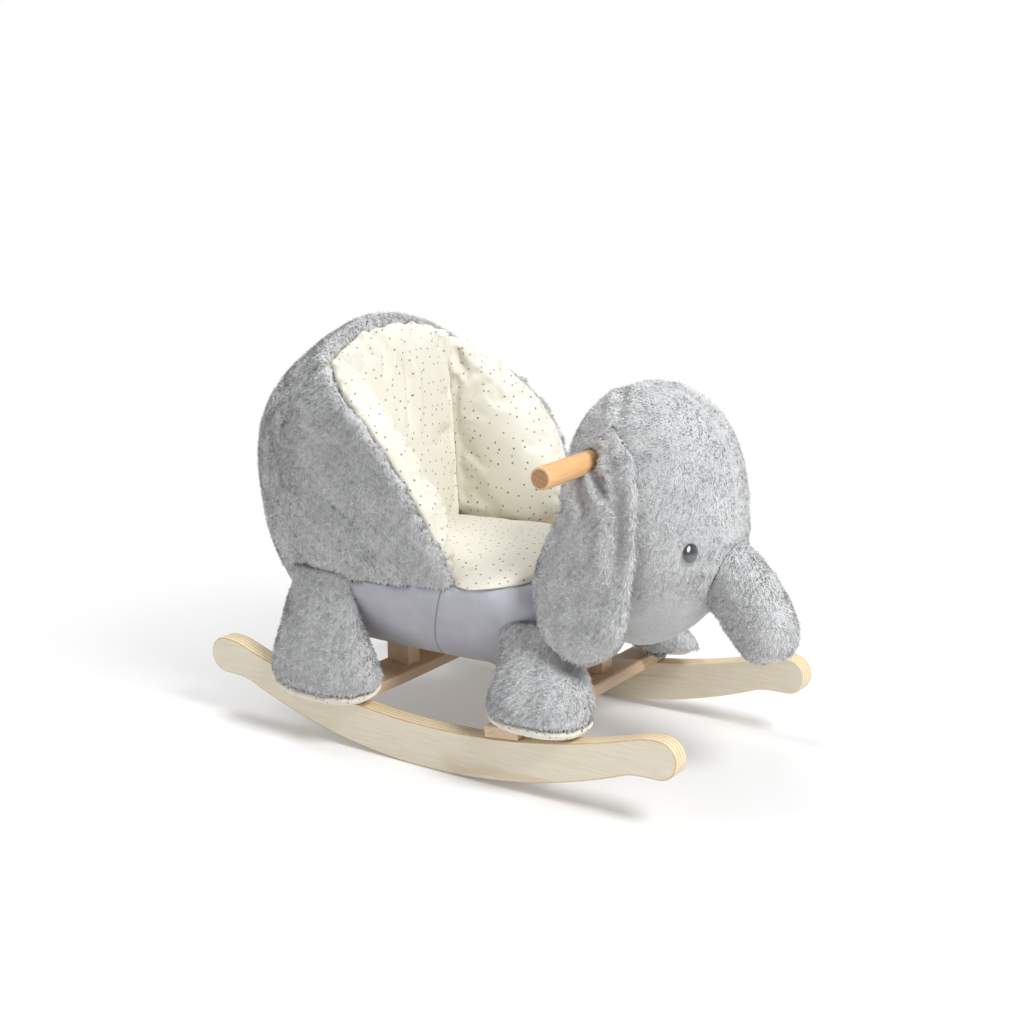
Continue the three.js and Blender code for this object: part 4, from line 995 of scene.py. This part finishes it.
def wing_shape(points, normals):
    """Thinner towards the knee, and tucked under where it meets the seat"""
    moved = drawn_in(points, normals)
    x, y, z = moved.T
    width = np.abs(y)
    thin = 1 - WING.thinning * smooth_step(x, -0.068, -0.018) * (1 - smooth_step(z, 0.24, 0.30))
    width = np.where(width < WING.outer, WING.outer - (WING.outer - width) * thin, width)
    tuck = WING.tuck * (1 - smooth_step(z, 0.196, 0.232)) * (width < 0.115)
    moved[:, 1] = np.sign(y) * (width + tuck)
    return moved


def ear_shape(sign):
    """The ear reaches up towards the seam over the brow, with gathers below the handle"""
    def shape(points, normals):
        high = smooth_step(points[:, 2], 0.300, 0.365)[:, None]
        return creased(EAR_CREASES, sign)(points + high * EAR_RISE, normals)
    return shape


def on_brow(x, z):
    """1 where the head's centre seam runs"""
    return smooth_step(x, 0.10, 0.13) * smooth_step(z, 0.27, 0.31)


def head_shape(points, normals):
    """Centre seam over the brow, and a seam from it down to each ear"""
    x, y, z = points.T
    groove = HEAD_SEAM.depth * np.exp(-(y / HEAD_SEAM.width) ** 2) * on_brow(x, z)
    moved = points - normals * groove[:, None]
    for _, sign in SIDES:
        moved = creased(HEAD_CREASES, sign)(moved, normals)
    return moved


def head_pile(points):
    """Short smooth pile under the chin, and shorter fur in the seam"""
    x, y, z = points.T
    chin = CHIN_PILE + (1 - CHIN_PILE) * smooth_step(z, 0.190, 0.216)
    seam = 1 - HEAD_SEAM.pile * np.exp(-(y / HEAD_SEAM.pile_width) ** 2) * on_brow(x, z)
    return chin * seam * HEAD_PILE


def leg_shape(top, depth, axis, most, shift=0.0, edge=0.0, slim=(0.0, 0.0, 0.05), thin=0.0, rise=0.0):
    """A leg with shoulders around X = `axis`, moved back by `shift`, slimmer from `edge` and thinner above"""
    def shape(points, normals):
        x, y, z = points.T
        share = np.clip((z - (top - depth)) / depth, 0, 0.97)
        wider = np.minimum((1 - share ** 5) ** 0.2 / np.sqrt(1 - share ** 2), most)
        x = axis + (x - axis) * wider - shift * smooth_step(z, top - 2 * depth, top)
        x = edge + (x - edge) * (1 - slim[0] * smooth_step(z, slim[1], slim[2]))
        thinner = 1 - thin * smooth_step(z, LEG_ANKLE, top + 0.01)
        y = np.sign(y) * (LEG_INNER + (np.abs(y) - LEG_INNER) * thinner)
        return np.stack([x, y, z + rise * smooth_step(z, top - 0.07, top)], 1)
    return shape


def far_leg_shape(points, normals):
    """The left front leg sits further back, and its inner side hangs down beside the rocker"""
    moved = leg_shape(**LEGS["far"])(points, normals)
    x, y, z = moved.T
    inner = 1 - smooth_step(y, *FAR_LEG.hangs)
    low = 1 - smooth_step(z, 0.080, 0.140)
    length = FAR_LEG.length + (FAR_LEG.foot_length - FAR_LEG.length) * low
    length = length - FAR_LEG.outer * smooth_step(y, 0.120, 0.165)
    moved[:, 0] = FAR_LEG.rear + (x - FAR_LEG.rear) * length
    moved[:, 2] = z - FAR_LEG.droop * inner * low * (0.4 + 0.6 * smooth_step(x, 0.06, 0.15))
    return moved


def far_sole_shape(points, normals):
    """The sole of the left front leg keeps inside the leg's outline"""
    moved = far_leg_shape(points, normals)
    middle = (moved.min(0) + moved.max(0)) / 2
    moved[:, :2] = middle[:2] + (moved[:, :2] - middle[:2]) * FAR_SOLE.size
    moved[:, 2] += FAR_SOLE.lift
    return moved


make_camera()
bpy.context.scene.view_settings.view_transform = "Standard"
make_stage()
make_lights()

STEEL, FUR, VELOUR, COTTON, THREAD = zinc(), fur(), velour(), dotted_cotton(), embroidery()
PINE = wood("pine", (0.84, 0.66, 0.49), (0.66, 0.46, 0.30), "Y", roughness=0.55)
PLY_PLAIN = wood("plywood_board", (0.76, 0.66, 0.50), (0.62, 0.49, 0.33), "X", roughness=0.6)
FINISHES = dict(
    screw=STEEL, bolt=STEEL, tee_nut=STEEL, crossbar=PINE, block=PINE, board=PLY_PLAIN, post=PLY_PLAIN)

make_rockers(plywood_face(), plywood_edge())
make_handle(wood("beech", (0.80, 0.50, 0.25), (0.66, 0.36, 0.15), "Y", 90.0, 0.35),
            end_grain("beech_end", (0.55, 0.31, 0.17), (0.36, 0.18, 0.09)))

for name, each in NODES.items():
    finish = next((FINISHES[word] for word in FINISHES if word in name), None)
    for slot in each.material_slots if finish else ():
        slot.material = finish

PADS = ["back_pad", "wing_pad_right", "wing_pad_left", "seat_pad"]
BOARDS = ["back_board", "side_board_right", "side_board_left", "head_post"]
BODY = ["body_back", "body_side_right", "body_side_left", "belly"]

cloth_piece("back_cloth", ["back_pad"], "frame", COTTON, sculpt=drawn_in,
            held=held_way(-1, 0, -0.3, from_=0.1, to=0.5), after=creased(BACK_CREASES), joined=PADS[1:3])
for side, sign in SIDES:
    cloth_piece(f"wing_cloth_{side}", [f"wing_pad_{side}"], "frame", COTTON,
                sculpt=wing_shape, held=held_way(0, sign, -0.3, from_=0.1, to=0.5),
                after=creased(WING_CREASES, sign), joined=["back_pad"])
cloth_piece("seat_cloth", ["seat_pad"], "frame", COTTON, mesh=seat_mesh(),
            held=held_way(0, 0, -1, from_=-0.3, to=0.3), after=creased(SEAT_CREASES), cap=0.004, growth=0.02)
cloth_piece("belly_cloth", ["belly"], "frame", VELOUR, voxel=0.006)

for side, sign in SIDES:
    for end in ("front", "rear"):
        far = (end, side) == ("front", "left")
        cloth_piece(f"sole_cloth_{end}_{side}", [f"sole_{end}_{side}"], f"leg_{end}_{side}", COTTON,
                    rounds=2, voxel=0.004,
                    sculpt=far_sole_shape if far else leg_shape(**LEGS[end]))
    cloth_piece(f"eye_stitch_{side}", [f"eye_{side}"], "frame", THREAD, flat=eye_flat,
                rounds=1, voxel=0.001, sculpt=eye_sunk)

fur_piece("body_back_fur", ["body_back"], "frame", (0, 0, -1), PADS + BOARDS + BODY[1:], 11,
          joined=BODY[1:], sculpt=rim_raised, rounds=8)
for side, sign in SIDES:
    fur_piece(f"body_side_fur_{side}", [f"body_side_{side}"], "frame", (0.35, 0, -1),
              PADS + BOARDS + ["belly", "body_back"], 20 + sign, joined=["body_back", "belly"],
              sculpt=rim_raised, rounds=8)
    fur_piece(f"ear_fur_{side}", [f"ear_{side}"], f"ear_{side}", (-0.1, 0, -1), ["head"], 30 + sign,
              sculpt=ear_shape(sign), voxel=0.0036, plump=EAR_FILL)
    for end, number in (("front", 40), ("rear", 50)):
        far = (end, side) == ("front", "left")
        fur_piece(f"leg_fur_{end}_{side}", [f"leg_{end}_{side}"], f"leg_{end}_{side}", (0, 0.3, -1),
                  [f"sole_{end}_{side}"], number + sign,
                  sculpt=far_leg_shape if far else leg_shape(**LEGS[end]))
fur_piece("head_fur", ["head"], "frame", (-0.6, 0, -0.8), BODY + BOARDS + ["seat_pad", "trunk"], 61,
          joined=["trunk"], sculpt=head_shape, pile=head_pile)
fur_piece("trunk_fur", ["trunk"], "frame", (0, 0, -1), ["head"], 71, joined=["head"])
